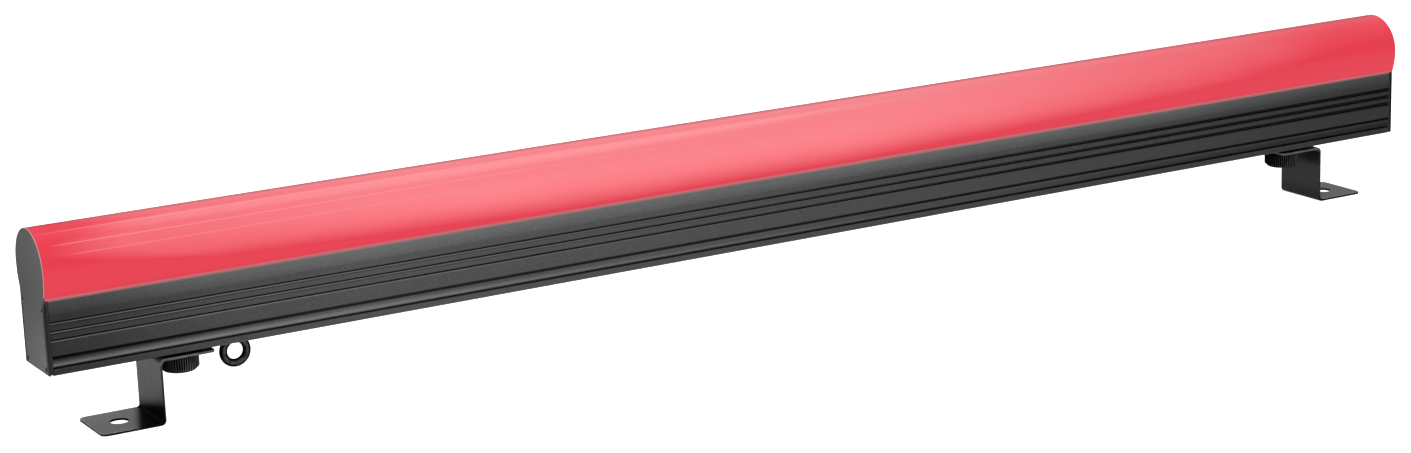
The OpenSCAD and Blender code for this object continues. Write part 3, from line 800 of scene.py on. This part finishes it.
def prism(name, loops, stations, material, paint=None):
    """Closed solid: (y, z, edge) loops, outer first and holes after, run through x stations.

    paint gives a function of y, z and edge for each attribute it sets."""
    bm, edge = new_mesh()
    first_end, last_end = [], []
    for loop in loops:
        rings = [add_ring(bm, edge, ((Vector((x, y, z + BASE)) * MM, value)
                                     for y, z, value in loop)) for x in stations]
        skin(bm, rings)
        first_end += rings[0]
        last_end += rings[-1]
    for tri in tessellate_polygon([[Vector((y, z, 0)) for y, z, _ in loop] for loop in loops]):
        bm.faces.new([first_end[i] for i in tri])
        bm.faces.new([last_end[i] for i in reversed(tri)])
    for key, mask in (paint or {}).items():
        layer = edge if key == "edge" else bm.verts.layers.float.new(key)
        for v in bm.verts:
            v[layer] = mask(v.co.y * 1000, v.co.z * 1000 - BASE, v[edge])
    return finish_mesh(name, bm, material, 32)


def lathe(name, profile, material, centre, axis="z", segments=96, closed=False):
    """Revolves (radius, height, edge) points about an axis through centre.

    A profile from radius 0 to radius 0 closes itself; closed joins its ends into a ring."""
    bm, edge = new_mesh()

    def at(radius, height, angle):
        a, b = radius * cos(angle), radius * sin(angle)
        local = (a, b, height) if axis == "z" else (a, height, b)
        return (Vector(local) + Vector(centre)) * MM

    rings = []
    for radius, height, value in profile:
        count = 1 if radius < 1e-6 else segments
        rings.append(add_ring(bm, edge, ((at(radius, height, 2 * pi * i / segments), value)
                                         for i in range(count))))
    skin(bm, rings, closed)
    return finish_mesh(name, bm, material, 40)


def deliver(obj, body, node):
    """Tells the frame which body the object rides on and the part it replaces."""
    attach(obj, body)
    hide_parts(node)


# ------------------------------------------------------------------ housing
FLANK_TOP = GROOVES[2] + 3.9             # where the flank starts to lean in


def groove(z):
    return [(HALF_W - 0.9, z - 0.12), (HALF_W - 0.9, z + 0.12)]


def rib(below, above, sag=0.16, steps=12):
    """The slightly convex face between two grooves."""
    start, end = below + 0.3, above - 0.85
    return [(HALF_W - sag * (2 * i / steps - 1) ** 2, start + (end - start) * i / steps)
            for i in range(steps + 1)]


def housing_loops():
    """The section: outline, then its holes."""
    # +Y flank, going up: foot, round bead, notch, grooved face, leaning top; (y, z)
    flank = [(HALF_W - 0.6, 0), (HALF_W, 0.6), (HALF_W, 3.75), (HALF_W - 1.5, 4.1),
             (HALF_W - 1.85, 4.45)]
    flank += arc(HALF_W - 3, 7.2, 3, -60, 52, 26)
    flank += [(HALF_W - 1.3, 9.9), (HALF_W - 1.3, 10.7), (HALF_W - 0.25, 11.0),
              (HALF_W, 11.4), (HALF_W, GROOVES[0] - 0.85)]
    flank += groove(GROOVES[0]) + rib(GROOVES[0], GROOVES[1])
    flank += groove(GROOVES[1]) + rib(GROOVES[1], GROOVES[2]) + groove(GROOVES[2])
    flank += [(HALF_W - 0.22, GROOVES[2] + 0.3), (HALF_W - 0.1, GROOVES[2] + 1.8),
              (HALF_W, GROOVES[2] + 3.8)]
    flank += [(HALF_W - 0.5 * (i / 16) ** 2, FLANK_TOP + (BODY_H - 0.3 - FLANK_TOP) * i / 16)
              for i in range(1, 17)]
    flank += [(HALF_W - 0.85, BODY_H)]
    # from the +Y rim in and down to the shelf, with a slot for the cover's leg
    tray = [(HALF_W - 1.6, BODY_H), (HALF_W - 1.6, SHELF + 3.4), (HALF_W - 3.6, SHELF + 3.4),
            (HALF_W - 3.6, BODY_H - 0.6), (HALF_W - 4.8, BODY_H - 0.6),
            (HALF_W - 4.8, SHELF + 3), (HALF_W - 6.4, SHELF + 3), (HALF_W - 6.4, SHELF)]
    # undercut slot in the underside, for the slide nuts
    slot = [(-4.1, 0), (-4.1, 2.2), (-7.2, 2.2), (-7.2, 8.0)]
    outer = slot + flip(slot) + flank + tray + flip(tray) + flip(flank)

    # main hollow, with a board groove in each wall
    wall = HALF_W - 2.2
    bay = [(wall - 2, 10), (wall - 2, 11.1), (wall, 11.1), (wall, 12.9), (wall - 2, 12.9),
           (wall - 2, 13.9), (wall, 13.9), (wall, SHELF - 2)]
    bay = flip(bay)[-1:] + bay + flip(bay)[:-1]
    # small hollow beside the slot, curving round the lower screw hole
    screw_y, screw_z = SCREW_LO
    pocket = [(9.1, 2.2), (12.885, 2.2)]
    pocket += [(screw_y + 2.8 * cos(rad(a)), screw_z + 2.8 * sin(rad(a)))
               for a in range(186, 73, -14)]
    pocket += [(HALF_W - 3, 5.564), (HALF_W - 3, 8.2), (9.1, 8.2)]
    loops = [fillet(outer, 0.16), fillet(bay, 0.3), plain(pocket), plain(flip(pocket))]
    return loops + [plain(circle(y, z, 1.45, 24)) for y, z in SCREWS]


# the bead's crest, where the extrusion's material paints a highlight at the left end and a little
# shade at the right
def bead_mask(y, z, _edge):
    on_bead = abs(y) > HALF_W - 1.9 and 4.4 < z < 9.7
    return max(0.0, 1 - abs(z - 7.0) / 2.6) if on_bead else 0.0


def cavity_mask(y, z, edge):
    """Paints shade into the grooves and notches of the flanks."""
    depth = HALF_W - abs(y)
    if abs(y) < HALF_W - 2.2:
        return edge
    for groove_z in GROOVES:
        if groove_z - 0.9 < z < groove_z + 0.35:
            return -min(1.0, depth / 0.30) if z > groove_z - 0.5 else edge
    if 9.85 < z < 11.05 and depth > 0.2:
        return -1.0
    if 3.9 < z < 4.3 and depth > 0.5:
        return -0.9
    return edge


def drill(x, y, z, radius, length, segments):
    """A cutting cylinder that runs from y towards +Y."""
    profile = [(0, 0, 0), (radius, 0, 0), (radius, length, 0), (0, length, 0)]
    return lathe("tool", profile, ANODISED, (x, y, z), "y", segments)


def housing():
    start, end = house_lo[0], house_hi[0]
    obj = prism("housing_extrusion", housing_loops(),
                [start + (end - start) * i / 20 for i in range(21)], ANODISED,
                paint={"edge": cavity_mask, "bead": bead_mask})
    # a through hole and a shallow round recess for each socket
    socket_x, socket_z = (middle("output_socket_shell", axis) for axis in (0, 2))
    tools = []
    for sign in (-1, 1):
        tools.append(drill(sign * socket_x, HALF_W - 4, socket_z, 7.1, 6, 64))
        tools.append(drill(sign * socket_x, SOCKET_Y, socket_z, 10.3, 3, 96))
    cut(obj, tools)
    sharpen(obj)
    weight_normals(obj)
    deliver(obj, "housing", "housing_profile")


housing()

# ------------------------------------------------------------------ cover
# radius of the curve on each side that runs from the dome's widest level in to the seam
SIDE_R = ((DOME_R - HALF_W) ** 2 + (DOME_Z - BODY_H) ** 2) / (2 * (DOME_R - HALF_W))


def dome(inset, bottom):
    """The dome's outline from the +Y side over the top, inset by a thickness."""
    start = -math.degrees(math.asin((DOME_Z - bottom) / (SIDE_R - inset)))
    side = arc(DOME_R - SIDE_R, DOME_Z, SIDE_R - inset, start, 0, 22)
    return side + arc(0, DOME_Z, DOME_R - inset, 2, 178, 120) + flip(side)


def cover():
    leg_out, leg_in = HALF_W - 1.8, HALF_W - 3.4
    tip, foot_z = SHELF + 3.8, BODY_H + 1.5
    leg = [(leg_in, foot_z), (leg_in, tip), (leg_out, tip), (leg_out, BODY_H)]
    loop = dome(0, BODY_H) + flip(leg) + dome(COVER_T, foot_z)[::-1] + leg
    stations = [COVER_X0, COVER_X0 + 0.35]
    stations += [COVER_X0 + 8 + (COVER_X1 - COVER_X0 - 16) * i / 60 for i in range(61)]
    stations += [COVER_X1 - 0.35, COVER_X1]
    loop = plain((y, z) for y, z, _ in fillet(loop, 0.18))
    obj = prism("dome_cover", [loop], stations, COVER)
    weight_normals(obj)
    deliver(obj, "housing", "cover_diffuser")


cover()

# ------------------------------------------------------------------ end plates
# rounded rim: (inset, depth from the outer face, edge)
CAP_RIM = [(0.30, 0.0, 0.0), (0.14, 0.05, 0.25), (0.045, 0.14, 0.7), (0.0, 0.30, 1.0),
           (0.0, CAP_T - 0.12, 0.9), (0.06, CAP_T, 0.4)]
# countersunk screw hole: (radius, depth, edge)
CAP_HOLE = [(2.42, 0.0, 0.0), (2.34, 0.03, 0.6), (1.62, 0.80, 0.0), (1.55, CAP_T, 0.0)]


def cap_loop(inset):
    radius = 1.0 - inset
    side = HALF_W - inset - radius
    return (dome(inset, BODY_H + inset * 0.3)
            + arc(-HALF_W + inset + radius, inset + radius, radius, 180, 270, 8)
            + arc(side, inset + radius, radius, 270, 360, 8))


def end_plate(side, sign):
    bm, edge = new_mesh()

    def ring(points, depth, value):
        x = sign * CAP_X - sign * depth
        return add_ring(bm, edge, ((Vector((x, y, z + BASE)) * MM, value) for y, z in points))

    def flatten(v):
        return Vector((v.co.y, v.co.z, 0)) * 1000

    rim = [ring(cap_loop(inset), depth, value) for inset, depth, value in CAP_RIM]
    skin(bm, rim)
    holes = []
    for y, z in SCREWS:
        holes.append([ring(circle(y, z, radius, 40), depth, value)
                      for radius, depth, value in CAP_HOLE])
        skin(bm, holes[-1])
    # a ring just inside the outer face's rim keeps the painted rim highlight narrow
    inner = ring(cap_loop(0.55), 0.0, 0.0)
    skin(bm, [rim[0], inner])
    fill(bm, [inner] + [hole[0] for hole in holes], flatten)
    fill(bm, [rim[-1]] + [hole[-1] for hole in holes], flatten)
    obj = finish_mesh(side + "_cap_plate", bm, CAP, 50)
    weight_normals(obj)
    deliver(obj, "housing", side + "_end_cap")


SIDES = (("left", -1), ("right", 1))     # name and direction along X
for side, sign in SIDES:
    end_plate(side, sign)

# ------------------------------------------------------------------ screws in the end plates
OXIDE = screw_oxide()
# from the tip to the middle of the head: (radius, depth from the plate's face, edge)
SCREW = [(0, 9.9, 0), (0.35, 9.8, 0), (1.38, 8.9, 0), (1.4, 0.85, 0), (1.52, 0.75, 0),
         (2.2, 0.12, 0.5), (2.28, 0.03, 1.0), (2.2, -0.02, 0.8), (1.9, -0.04, 0.1),
         (0, -0.05, 0)]


def add_screw(bm, centre, sign):
    """Adds a screw with a cross recess, its head facing sign * X."""
    screw = lathe("s", SCREW, OXIDE, (0, 0, 0), "z", 40)
    arms = []
    for angle in (0, 90):
        arm = bmesh.new()
        bmesh.ops.create_cube(arm, size=1.0)
        for v in arm.verts:
            # the recess narrows with depth
            length, width = (1.0, 1) if v.co.z < 0 else (0.45, 0.7)
            v.co = Vector((v.co.x * 2.5 * length, v.co.y * 0.52 * width,
                           v.co.z * 1.3 + 0.35)) * MM
        turn = Matrix.Rotation(rad(angle + 12), 3, "Z")
        bmesh.ops.rotate(arm, verts=arm.verts, matrix=turn)
        arms.append(make_object("arm%d" % angle, arm, OXIDE, smooth=False))
    cut(screw, arms)
    place = Matrix.Translation(Vector(centre) * MM)
    screw.data.transform(place @ Matrix.Rotation(rad(-90 * sign), 4, "Y"))
    bm.from_mesh(screw.data)
    bpy.data.objects.remove(screw)


for side, sign in SIDES:
    bm = bmesh.new()
    for y, z in SCREWS:
        add_screw(bm, (sign * (CAP_X - 0.06), y, z + BASE), sign)
    obj = sharpen(make_object(side + "_cap_screw_set", bm, OXIDE), 35)
    deliver(obj, "housing", side + "_cap_screws")


# ------------------------------------------------------------------ gaskets behind the plates
def gasket(side):
    lo, hi = box_mm(side + "_end_seal")
    width, top = hi[1], hi[2] - BASE
    right = [(width, top), (HALF_W - 1.6, top), (HALF_W - 1.6, SHELF + 3.4),
             (HALF_W - 3.6, SHELF + 3.4), (HALF_W - 3.6, top), (HALF_W - 6.4, top),
             (HALF_W - 6.4, SHELF)]
    outer = [(-width, 0.5), (width, 0.5)] + right + flip(right)
    window = HALF_W - 7
    inner = [(-window, 12), (window, 12), (window, SHELF - 4), (-window, SHELF - 4)]
    loops = [fillet(outer, 0.3), fillet(inner, 1.2)]
    loops += [plain(circle(y, z, 1.6, 24)) for y, z in SCREWS]
    obj = prism(side + "_gasket", loops, [lo[0], (lo[0] + hi[0]) / 2, hi[0]], RUBBER)
    weight_normals(obj)
    deliver(obj, "housing", side + "_end_seal")


for side, _ in SIDES:
    gasket(side)

# ------------------------------------------------------------------ feet
SHEET_T = 1.5
BEND_IN = 1.7                            # inner radius of both bends
BEND_MID = BEND_IN + SHEET_T / 2
TOE = 37.7                               # toe tip to the outer face of the leg
TOE_HOLE_BACK = 19.9                     # toe hole to the outer face of the leg
TOE_HOLE_R = 5.5
SCREW_HOLE_R = 3.3
HALF_T = SHEET_T / 2
# rounded rim: (inset, height from the mid-surface, edge)
FOOT_RIM = [(0.32, HALF_T, 0.35), (0.14, HALF_T - 0.04, 1.0), (0.04, HALF_T - 0.14, 1.0),
            (0.0, HALF_T - 0.32, 0.6), (0.0, -HALF_T + 0.32, 0.6), (0.04, -HALF_T + 0.14, 1.0),
            (0.14, -HALF_T + 0.04, 1.0), (0.32, -HALF_T, 0.35)]


def smoothstep(t):
    t = min(1.0, max(0.0, t))
    return t * t * (3 - 2 * t)


def foot(side, sign):
    """A flat blank, rounded, pierced and given painted shade and highlights, then bent into toe,
    leg and top flange.

    Lengths along the blank run from the toe's tip; x is worked out for the left foot."""
    lo, hi = box_mm(side + "_bracket")
    half_w = (hi[1] - lo[1]) / 2
    top = hi[2]
    knob_x = middle(side + "_knob_screw", 0)
    tip_x = -max(abs(lo[0]), abs(hi[0]))
    end_x = -min(abs(lo[0]), abs(hi[0]))
    leg_x = tip_x + TOE
    flange_x = leg_x + SHEET_T + BEND_IN
    bend = BEND_MID * pi / 2
    # ends of the toe, first bend, leg, second bend and flange
    toe_end = (leg_x - BEND_IN) - tip_x
    leg_start = toe_end + bend
    leg_len = (top - SHEET_T - BEND_IN) - (SHEET_T + BEND_IN)
    leg_end = toe_end + bend + leg_len
    flange_start = toe_end + 2 * bend + leg_len
    total = flange_start + (end_x - (leg_x + BEND_IN + SHEET_T))
    toe_hole = leg_x - TOE_HOLE_BACK - tip_x
    screw_hole = flange_start + (-abs(knob_x) - flange_x)

    def fold(s, y, t):
        """Bends a point of the blank; t is its height above the mid-surface."""
        if s <= toe_end:
            x, z = tip_x + s, HALF_T + t
        elif s <= leg_start:
            angle = (s - toe_end) / BEND_MID
            radius = BEND_MID - t
            x = leg_x - BEND_IN + radius * sin(angle)
            z = SHEET_T + BEND_IN - radius * cos(angle)
        elif s <= leg_end:
            x, z = leg_x + HALF_T - t, SHEET_T + BEND_IN + (s - leg_start)
        elif s <= flange_start:
            angle = (s - leg_end) / BEND_MID
            radius = BEND_MID + t
            x = flange_x - radius * cos(angle)
            z = top - SHEET_T - BEND_IN + radius * sin(angle)
        else:
            x, z = flange_x + (s - flange_start), top - HALF_T + t
        return Vector((-sign * x, y, z)) * MM

    # places along the blank where it is divided, so that it can bend and take painted shade
    columns = {round(toe_end + (leg_start - toe_end) * i / 14, 4) for i in range(15)}
    columns |= {round(leg_end + (flange_start - leg_end) * i / 14, 4) for i in range(15)}
    columns |= {round(toe_end - k, 3) for k in (*range(1, 17), 18)}
    columns |= {round(flange_start + 3, 3)}
    columns |= {round(leg_start + leg_len * i / 24, 3) for i in range(25)}
    columns = sorted(columns)

    def outline(inset):
        toe_r, end_r = 4.0 - inset, 2.5 - inset
        width, start, end = half_w - inset, inset, total - inset
        between = [s for s in columns if start + toe_r < s < end - end_r]
        return (arc(start + toe_r, -width + toe_r, toe_r, 180, 270, 12)
                + [(s, -width) for s in between]
                + arc(end - end_r, -width + end_r, end_r, 270, 360, 8)
                + arc(end - end_r, width - end_r, end_r, 0, 90, 8)
                + [(s, width) for s in reversed(between)]
                + arc(start + toe_r, width - toe_r, toe_r, 90, 180, 12))

    bm, edge = new_mesh()

    def ring(points, height, value):
        return add_ring(bm, edge, (((s, y, height), value) for s, y in points))

    rim = [ring(outline(inset), height, value) for inset, height, value in FOOT_RIM]
    skin(bm, rim)
    pierced = ((toe_hole, TOE_HOLE_R), (screw_hole, SCREW_HOLE_R))
    holes = []
    for s, radius in pierced:
        holes.append([ring(circle(s, 0, radius + inset * 0.8, 64), height, value * 0.15)
                      for inset, height, value in FOOT_RIM])
        skin(bm, holes[-1])
    for face in (0, -1):
        # a second ring inside each rim keeps the painted edge highlight narrow
        height = FOOT_RIM[face][1]
        inner = [ring(outline(0.75), height, 0.0)]
        skin(bm, [rim[face], inner[0]])
        for hole, (s, radius) in zip(holes, pierced):
            inner.append(ring(circle(s, 0, radius + 0.7, 64), height, 0.0))
            skin(bm, [hole[face], inner[-1]])
        fill(bm, inner, lambda v: Vector((v.co.x, v.co.y, 0)))

    cuts = [((s, 0, 0), (1, 0, 0)) for s in columns]
    cuts += [((0, y + 0.013, 0), (0, 1, 0)) for y in range(-16, 17, 4)]
    for place, direction in cuts:
        bmesh.ops.bisect_plane(bm, geom=bm.verts[:] + bm.edges[:] + bm.faces[:],
                               plane_co=place, plane_no=direction, dist=1e-5)
    bmesh.ops.remove_doubles(bm, verts=bm.verts, dist=1e-5)

    bend_shade = bm.verts.layers.float.new("bend_shade")
    for v in bm.verts:
        s, y, height = v.co
        up_leg = SHEET_T + BEND_IN + s - leg_start
        if height > -0.2:
            # shade in the bend of toe and leg; on the left foot it widens towards -Y
            toe_reach, leg_reach = 1.0, 5.0
            if sign < 0:
                toe_reach, leg_reach = 9.2 - 0.36 * y, 10.3 - 0.21 * y
            if s < toe_end:
                shade = 1 - smoothstep((toe_end + BEND_IN - s - toe_reach + 3.0) / 6.0)
            elif s < leg_start:
                shade = 1.0
            else:
                shade = 1 - smoothstep((up_leg - leg_reach + 4.0) / 8.0)
            # the flange's top, under the housing, gets painted shade
            if s > flange_start - 0.5 and height > HALF_T - 0.02:
                shade = 0.97
            v[bend_shade] = shade
        else:
            # the other face: painted shade on toe and leg, deeper low and high on the leg, lighter
            # on the left foot
            shade = 0.38 if s < leg_end else 0.0
            if toe_end < s < leg_end:
                shade += (0.20 * (1 - smoothstep((up_leg - 4) / 8.0))
                          + 0.42 * smoothstep((up_leg - 24) / 6.0)
                          * (1 - smoothstep((y - 2) / 16.0)))
            v[bend_shade] = shade if sign > 0 else shade * 0.8
        # the sheet's cut sides and the toe hole's wall get painted shade, the flange's sides a
        # painted highlight
        from_toe_hole = hypot(s - toe_hole, y)
        if (abs(height) < HALF_T - 0.1 and hypot(s - screw_hole, y) > 5
                and from_toe_hole > 7):
            if s < leg_start + 1:
                v[edge] = -0.95
            else:
                v[edge] = -0.62 if s < leg_end - 1 else 0.55
        elif height < -HALF_T + 0.1 and v[edge] > 0.5 and s < leg_end + 1:
            v[edge] = -0.5
        if from_toe_hole < TOE_HOLE_R + 0.1 and height < HALF_T - 0.05:
            v[edge] = -1.0
    for v in bm.verts:
        v.co = fold(*v.co)
    obj = finish_mesh(side + "_foot_strip", bm, SHEET, 45)
    weight_normals(obj)
    deliver(obj, side + "_foot", side + "_bracket")


for side, sign in SIDES:
    foot(side, sign)


# ------------------------------------------------------------------ clamp knobs
def knob(side):
    """A straight-ribbed grip with softened rims and a blind bore from above."""
    lo, hi = box_mm(side + "_knob")
    centre_x = (lo[0] + hi[0]) / 2
    top = hi[2]
    tall = top - lo[2]
    outer = (hi[0] - lo[0]) / 2
    rib_steps = 8
    segments = 50 * rib_steps
    # from the bore's mouth out and down to the underside: (radius, depth, rib share, edge)
    shell = [
        (3.2, 0.0, 0, 0), (6.9, 0.0, 0, 0), (7.0, 0.1, 0, 0), (7.0, 0.45, 0, 0),
        (7.15, 0.55, 0, 0), (outer - 1.9, 0.6, 0, 0.01), (outer - 1.45, 0.72, 0, 0.05),
        (outer - 1.05, 1.0, 0, 0.07), (outer - 0.55, 1.35, 0.45, 0),
        (outer - 0.12, 1.75, 0.9, 0), (outer, 2.2, 1.0, 0), (outer, tall * 0.5, 1.0, 0),
        (outer, tall - 2.7, 1.0, 0), (outer - 0.1, tall - 2.2, 1.0, 0),
        (outer - 0.45, tall - 1.75, 0.6, 0), (outer - 1.0, tall - 1.35, 0, 0),
        (outer - 1.45, tall - 0.8, 0, 0), (outer - 2.0, tall - 0.3, 0, 0),
        (outer - 2.7, tall - 0.04, 0, 0), (outer - 3.4, tall, 0, 0), (7.25, tall, 0, 0),
        (7.0, tall - 0.2, 0, 0), (7.0, tall - 0.75, 0, 0), (6.8, tall - 0.8, 0, 0),
        (0, tall - 0.8, 0, 0)]
    bore = [(3.0, 0.2, 0, 0), (3.0, tall - 2.2, 0, 0), (0, tall - 2.2, 0, 0)]
    bm, edge = new_mesh()

    def ring(radius, depth, share, value):
        entries = []
        for i in range(segments if radius else 1):
            wave = 0.5 + 0.5 * cos(2 * pi * ((i % rib_steps) / rib_steps))
            crest = wave ** 0.6
            reach = radius - 0.62 * share * (1 - crest)
            # through the edge attribute the rib crests get a painted highlight and the hollows
            # between them painted shade
            if share:
                value = (0.55 * (crest - 0.75) * 4 * share if crest > 0.75
                         else -(1 - crest) * share)
            angle = 2 * pi * i / segments
            place = Vector((centre_x + reach * cos(angle), reach * sin(angle), top - depth))
            entries.append((place * MM, value))
        return add_ring(bm, edge, entries)

    shell = [ring(*row) for row in shell]
    bore = [ring(*row) for row in bore]
    skin(bm, bore[::-1] + shell)
    obj = finish_mesh(side + "_grip_knob", bm, KNOB, 60)
    deliver(obj, side + "_clamp_screw", side + "_knob")


for side, _ in SIDES:
    knob(side)


# ------------------------------------------------------------------ washers and spacers
def flat_ring(side, part, radius, material, body):
    """A flat ring with softened outer rims."""
    node = side + "_" + part
    lo, hi = box_mm(node)
    low, high = lo[2], hi[2]
    bore, soft = 3.2, 0.18
    profile = [(bore, low + soft, 0), (bore + soft, low, 0), (radius - soft, low, 0),
               (radius - soft * 0.3, low + soft * 0.3, 1), (radius, low + soft, 1),
               (radius, high - soft, 1), (radius - soft * 0.3, high - soft * 0.3, 1),
               (radius - soft, high, 0), (bore + soft, high, 0), (bore, high - soft, 0)]
    obj = lathe(node + "_ring", profile, material, ((lo[0] + hi[0]) / 2, 0, 0), closed=True)
    deliver(obj, side + body, node)


for side, _ in SIDES:
    flat_ring(side, "washer", 9.0, ZINC, "_screw_travel")
    flat_ring(side, "spacer", 11.0, RUBBER, "_clamp_slide")


# ------------------------------------------------------------------ safety eye
def safety_eye():
    """A ring under the housing, joined to a shank with a small shoulder."""
    lo, hi = box_mm("safety_eye")
    centre_x = (lo[0] + hi[0]) / 2
    thick = 2.45                         # radius of the ring's section
    ring_r = (hi[0] - lo[0]) / 2 - thick
    centre_z = lo[2] + thick + ring_r
    around, section = 144, 40            # segments
    bm, edge = new_mesh()
    grid = []
    for i in range(around):
        angle = 2 * pi * i / around
        swell = max(0.0, sin(angle)) ** 10
        entries = []
        for j in range(section):
            turn = 2 * pi * j / section
            # the bore has a short straight land
            radius = max(ring_r + thick * cos(turn), ring_r - thick + 0.12)
            radius = radius + (0.25 * swell if cos(turn) > 0.2 else 0.0)
            z = min(centre_z + radius * sin(angle), BASE - 0.15)
            place = Vector((centre_x + radius * cos(angle), thick * sin(turn), z))
            # a little painted shade along the innermost line of the bore
            entries.append((place * MM, -0.2 if cos(turn) < -0.95 else 0.0))
        grid.append(add_ring(bm, edge, entries))
    for i in range(around):
        this, following = grid[i], grid[(i + 1) % around]
        for j in range(section):
            k = (j + 1) % section
            bm.faces.new((this[j], following[j], following[k], this[k]))
    eye = finish_mesh("eye_ring", bm, EYE, 60)
    ring_top = centre_z + ring_r
    profile = [(0, ring_top, 0), (2.9, ring_top, 0), (3.35, ring_top + thick - 0.8, 0),
               (3.9, BASE - 0.35, 0), (3.9, BASE - 0.12, 0), (2.98, BASE - 0.08, 0),
               (2.98, hi[2] - 0.3, 0), (2.7, hi[2], 0), (0, hi[2], 0)]
    shank = lathe("shank", profile, EYE, (centre_x, 0, 0), segments=64)
    cut(eye, [shank], "UNION")
    sharpen(eye, 40)
    deliver(eye, "eye", "safety_eye")


safety_eye()


# ------------------------------------------------------------------ rear sockets
def socket_shell(side):
    """Flanged and threaded shell, with a rubber ring behind its flange."""
    node = side + "_socket_shell"
    lo, hi = box_mm(node)
    centre = (middle(node, 0), 0, middle(node, 2))
    inner_y, outer_y = lo[1], hi[1]
    flange = SOCKET_Y + 0.5
    profile = [(5.6, inner_y, 0), (7.0, inner_y, 0), (7.0, flange, 0), (9.85, flange, 0),
               (10.0, flange + 0.2, 1), (10.0, flange + 1.75, 1), (9.8, flange + 1.95, 1),
               (9.5, flange + 2.0, 0), (7.75, flange + 2.0, 0)]
    pitch = 0.86
    y = flange + 2.15
    while y < outer_y - 1.1:
        profile += [(7.55, y, -0.8), (7.55, y + 0.12, -0.8), (8.0, y + 0.42, 1),
                    (8.0, y + 0.56, 1)]
        y += pitch
    profile += [(7.6, outer_y - 0.45, 0), (7.6, outer_y - 0.12, 0.6), (7.45, outer_y, 1),
                (6.75, outer_y, 1), (6.6, outer_y - 0.15, 0), (6.6, SOCKET_Y + 3, 0),
                (5.6, SOCKET_Y + 3, 0)]
    obj = lathe(side + "_shell_threaded", profile, NICKEL, centre, "y", closed=True)
    deliver(obj, "housing", node)

    node = side + "_socket_seal"
    lo, hi = box_mm(node)
    start, end = lo[1], hi[1]
    profile = [(7.15, start, 0), (9.8, start, 0), (9.9, (start + end) / 2, 0), (9.8, end, 0),
               (7.15, end, 0)]
    obj = lathe(side + "_seal_ring", profile, RUBBER, centre, "y", closed=True)
    deliver(obj, "housing", node)


for side in ("input", "output"):
    socket_shell(side)

# ------------------------------------------------------------------ CAD parts that keep their shape
FINISHES = (
    (WHITE_BOARD, "left_led_board right_led_board"),
    (LED_BODY, "left_leds right_leds"),
    (LED_RED, "left_led_windows right_led_windows"),
    (IVORY, "board_link_connector driver_headers"),
    (GREEN_BOARD, "driver_board"),
    (CHIP, "driver_chips"),
    (FERRITE, "driver_inductor"),
    (CAN, "driver_capacitors"),
    (WIRE_YELLOW, "led_feed_wires"),
    (WIRE_RED, "power_wires"),
    (WIRE_BLACK, "return_wires"),
    (WIRE_GREEN, "data_wires"),
    (INSULATOR, "input_socket_insert output_socket_insert"),
    (GOLD, "input_socket_pins output_socket_contacts"),
    (NICKEL, "input_socket_nut output_socket_nut"),
    (ZINC, "led_board_screws left_knob_screw right_knob_screw left_slide_nut right_slide_nut "
           "safety_eye_nut"),
)
for material, nodes in FINISHES:
    for node in nodes.split():
        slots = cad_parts[node].data.materials
        slots.clear()
        slots.append(material)


# ------------------------------------------------------------------ floor, world and lights
def floor():
    """White floor, brighter to the camera than to the bar."""
    bm = bmesh.new()
    bmesh.ops.create_grid(bm, x_segments=2, y_segments=2, size=14)
    mat = Material("floor_white")
    seen = mat.wire("LightPath", output="Is Camera Ray")
    white = mat.surface(color=grey(0.80), rough=0.9, spec=0.05, emit=grey(1.0),
                        strength=0.10 + seen * 0.80)
    make_object("floor", bm, white, smooth=False)


def studio_world():
    """White surroundings, brighter to the camera than as a light."""
    world = bpy.data.worlds.new("studio")
    scene.world = world
    world.use_nodes = True
    tree = world.node_tree
    background = tree.nodes["Background"]
    path = tree.nodes.new("ShaderNodeLightPath")
    strength = tree.nodes.new("ShaderNodeMapRange")
    tree.links.new(path.outputs["Is Camera Ray"], strength.inputs[0])
    strength.inputs["To Min"].default_value = 0.52
    strength.inputs["To Max"].default_value = 1.2
    tree.links.new(strength.outputs[0], background.inputs["Strength"])
    background.inputs["Color"].default_value = (1, 1, 1, 1)


def area_light(name, place, target, size, power):
    light = bpy.data.lights.new(name, "AREA")
    light.shape = "RECTANGLE"
    light.size, light.size_y = size
    light.energy = power
    obj = bpy.data.objects.new(name, light)
    obj.location = place
    aim = Vector(target) - Vector(place)
    obj.rotation_euler = aim.to_track_quat("-Z", "Y").to_euler()
    scene.collection.objects.link(obj)


scene = bpy.context.scene
floor()
studio_world()
area_light("key", place=(-0.9, -1.6, 1.7), target=(-0.15, 0, 0.05), size=(1.4, 0.9), power=34)
area_light("top", place=(0.1, 0.5, 2.2), target=(0, 0, 0), size=(2.4, 1.2), power=24)


# ------------------------------------------------------------------ camera
def camera(place, yaw, pitch, roll, lens):
    """yaw turns from +Y towards +X, pitch looks down; lens in mm."""
    forward = Vector((sin(yaw) * cos(pitch), cos(yaw) * cos(pitch), -sin(pitch)))
    level = Vector((cos(yaw), -sin(yaw), 0))
    upright = level.cross(forward)
    right = level * cos(roll) + upright * sin(roll)
    up = -level * sin(roll) + upright * cos(roll)
    obj = bpy.data.objects.new("camera", bpy.data.cameras.new("camera"))
    rows = zip(right, up, -forward, place)
    obj.matrix_world = Matrix((*rows, (0, 0, 0, 1)))
    obj.data.sensor_width = 36.0
    obj.data.lens = lens
    obj.data.clip_start = 0.05
    obj.data.clip_end = 60
    scene.collection.objects.link(obj)
    scene.camera = obj


camera(place=(-1.0422, -1.6949, 0.5110 + BASE * MM), yaw=rad(30.138), pitch=rad(14.227),
       roll=rad(-1.933), lens=81.266619)
scene.view_settings.view_transform = "Standard"
scene.view_settings.look = "None"

bpy.context.view_layer.update()
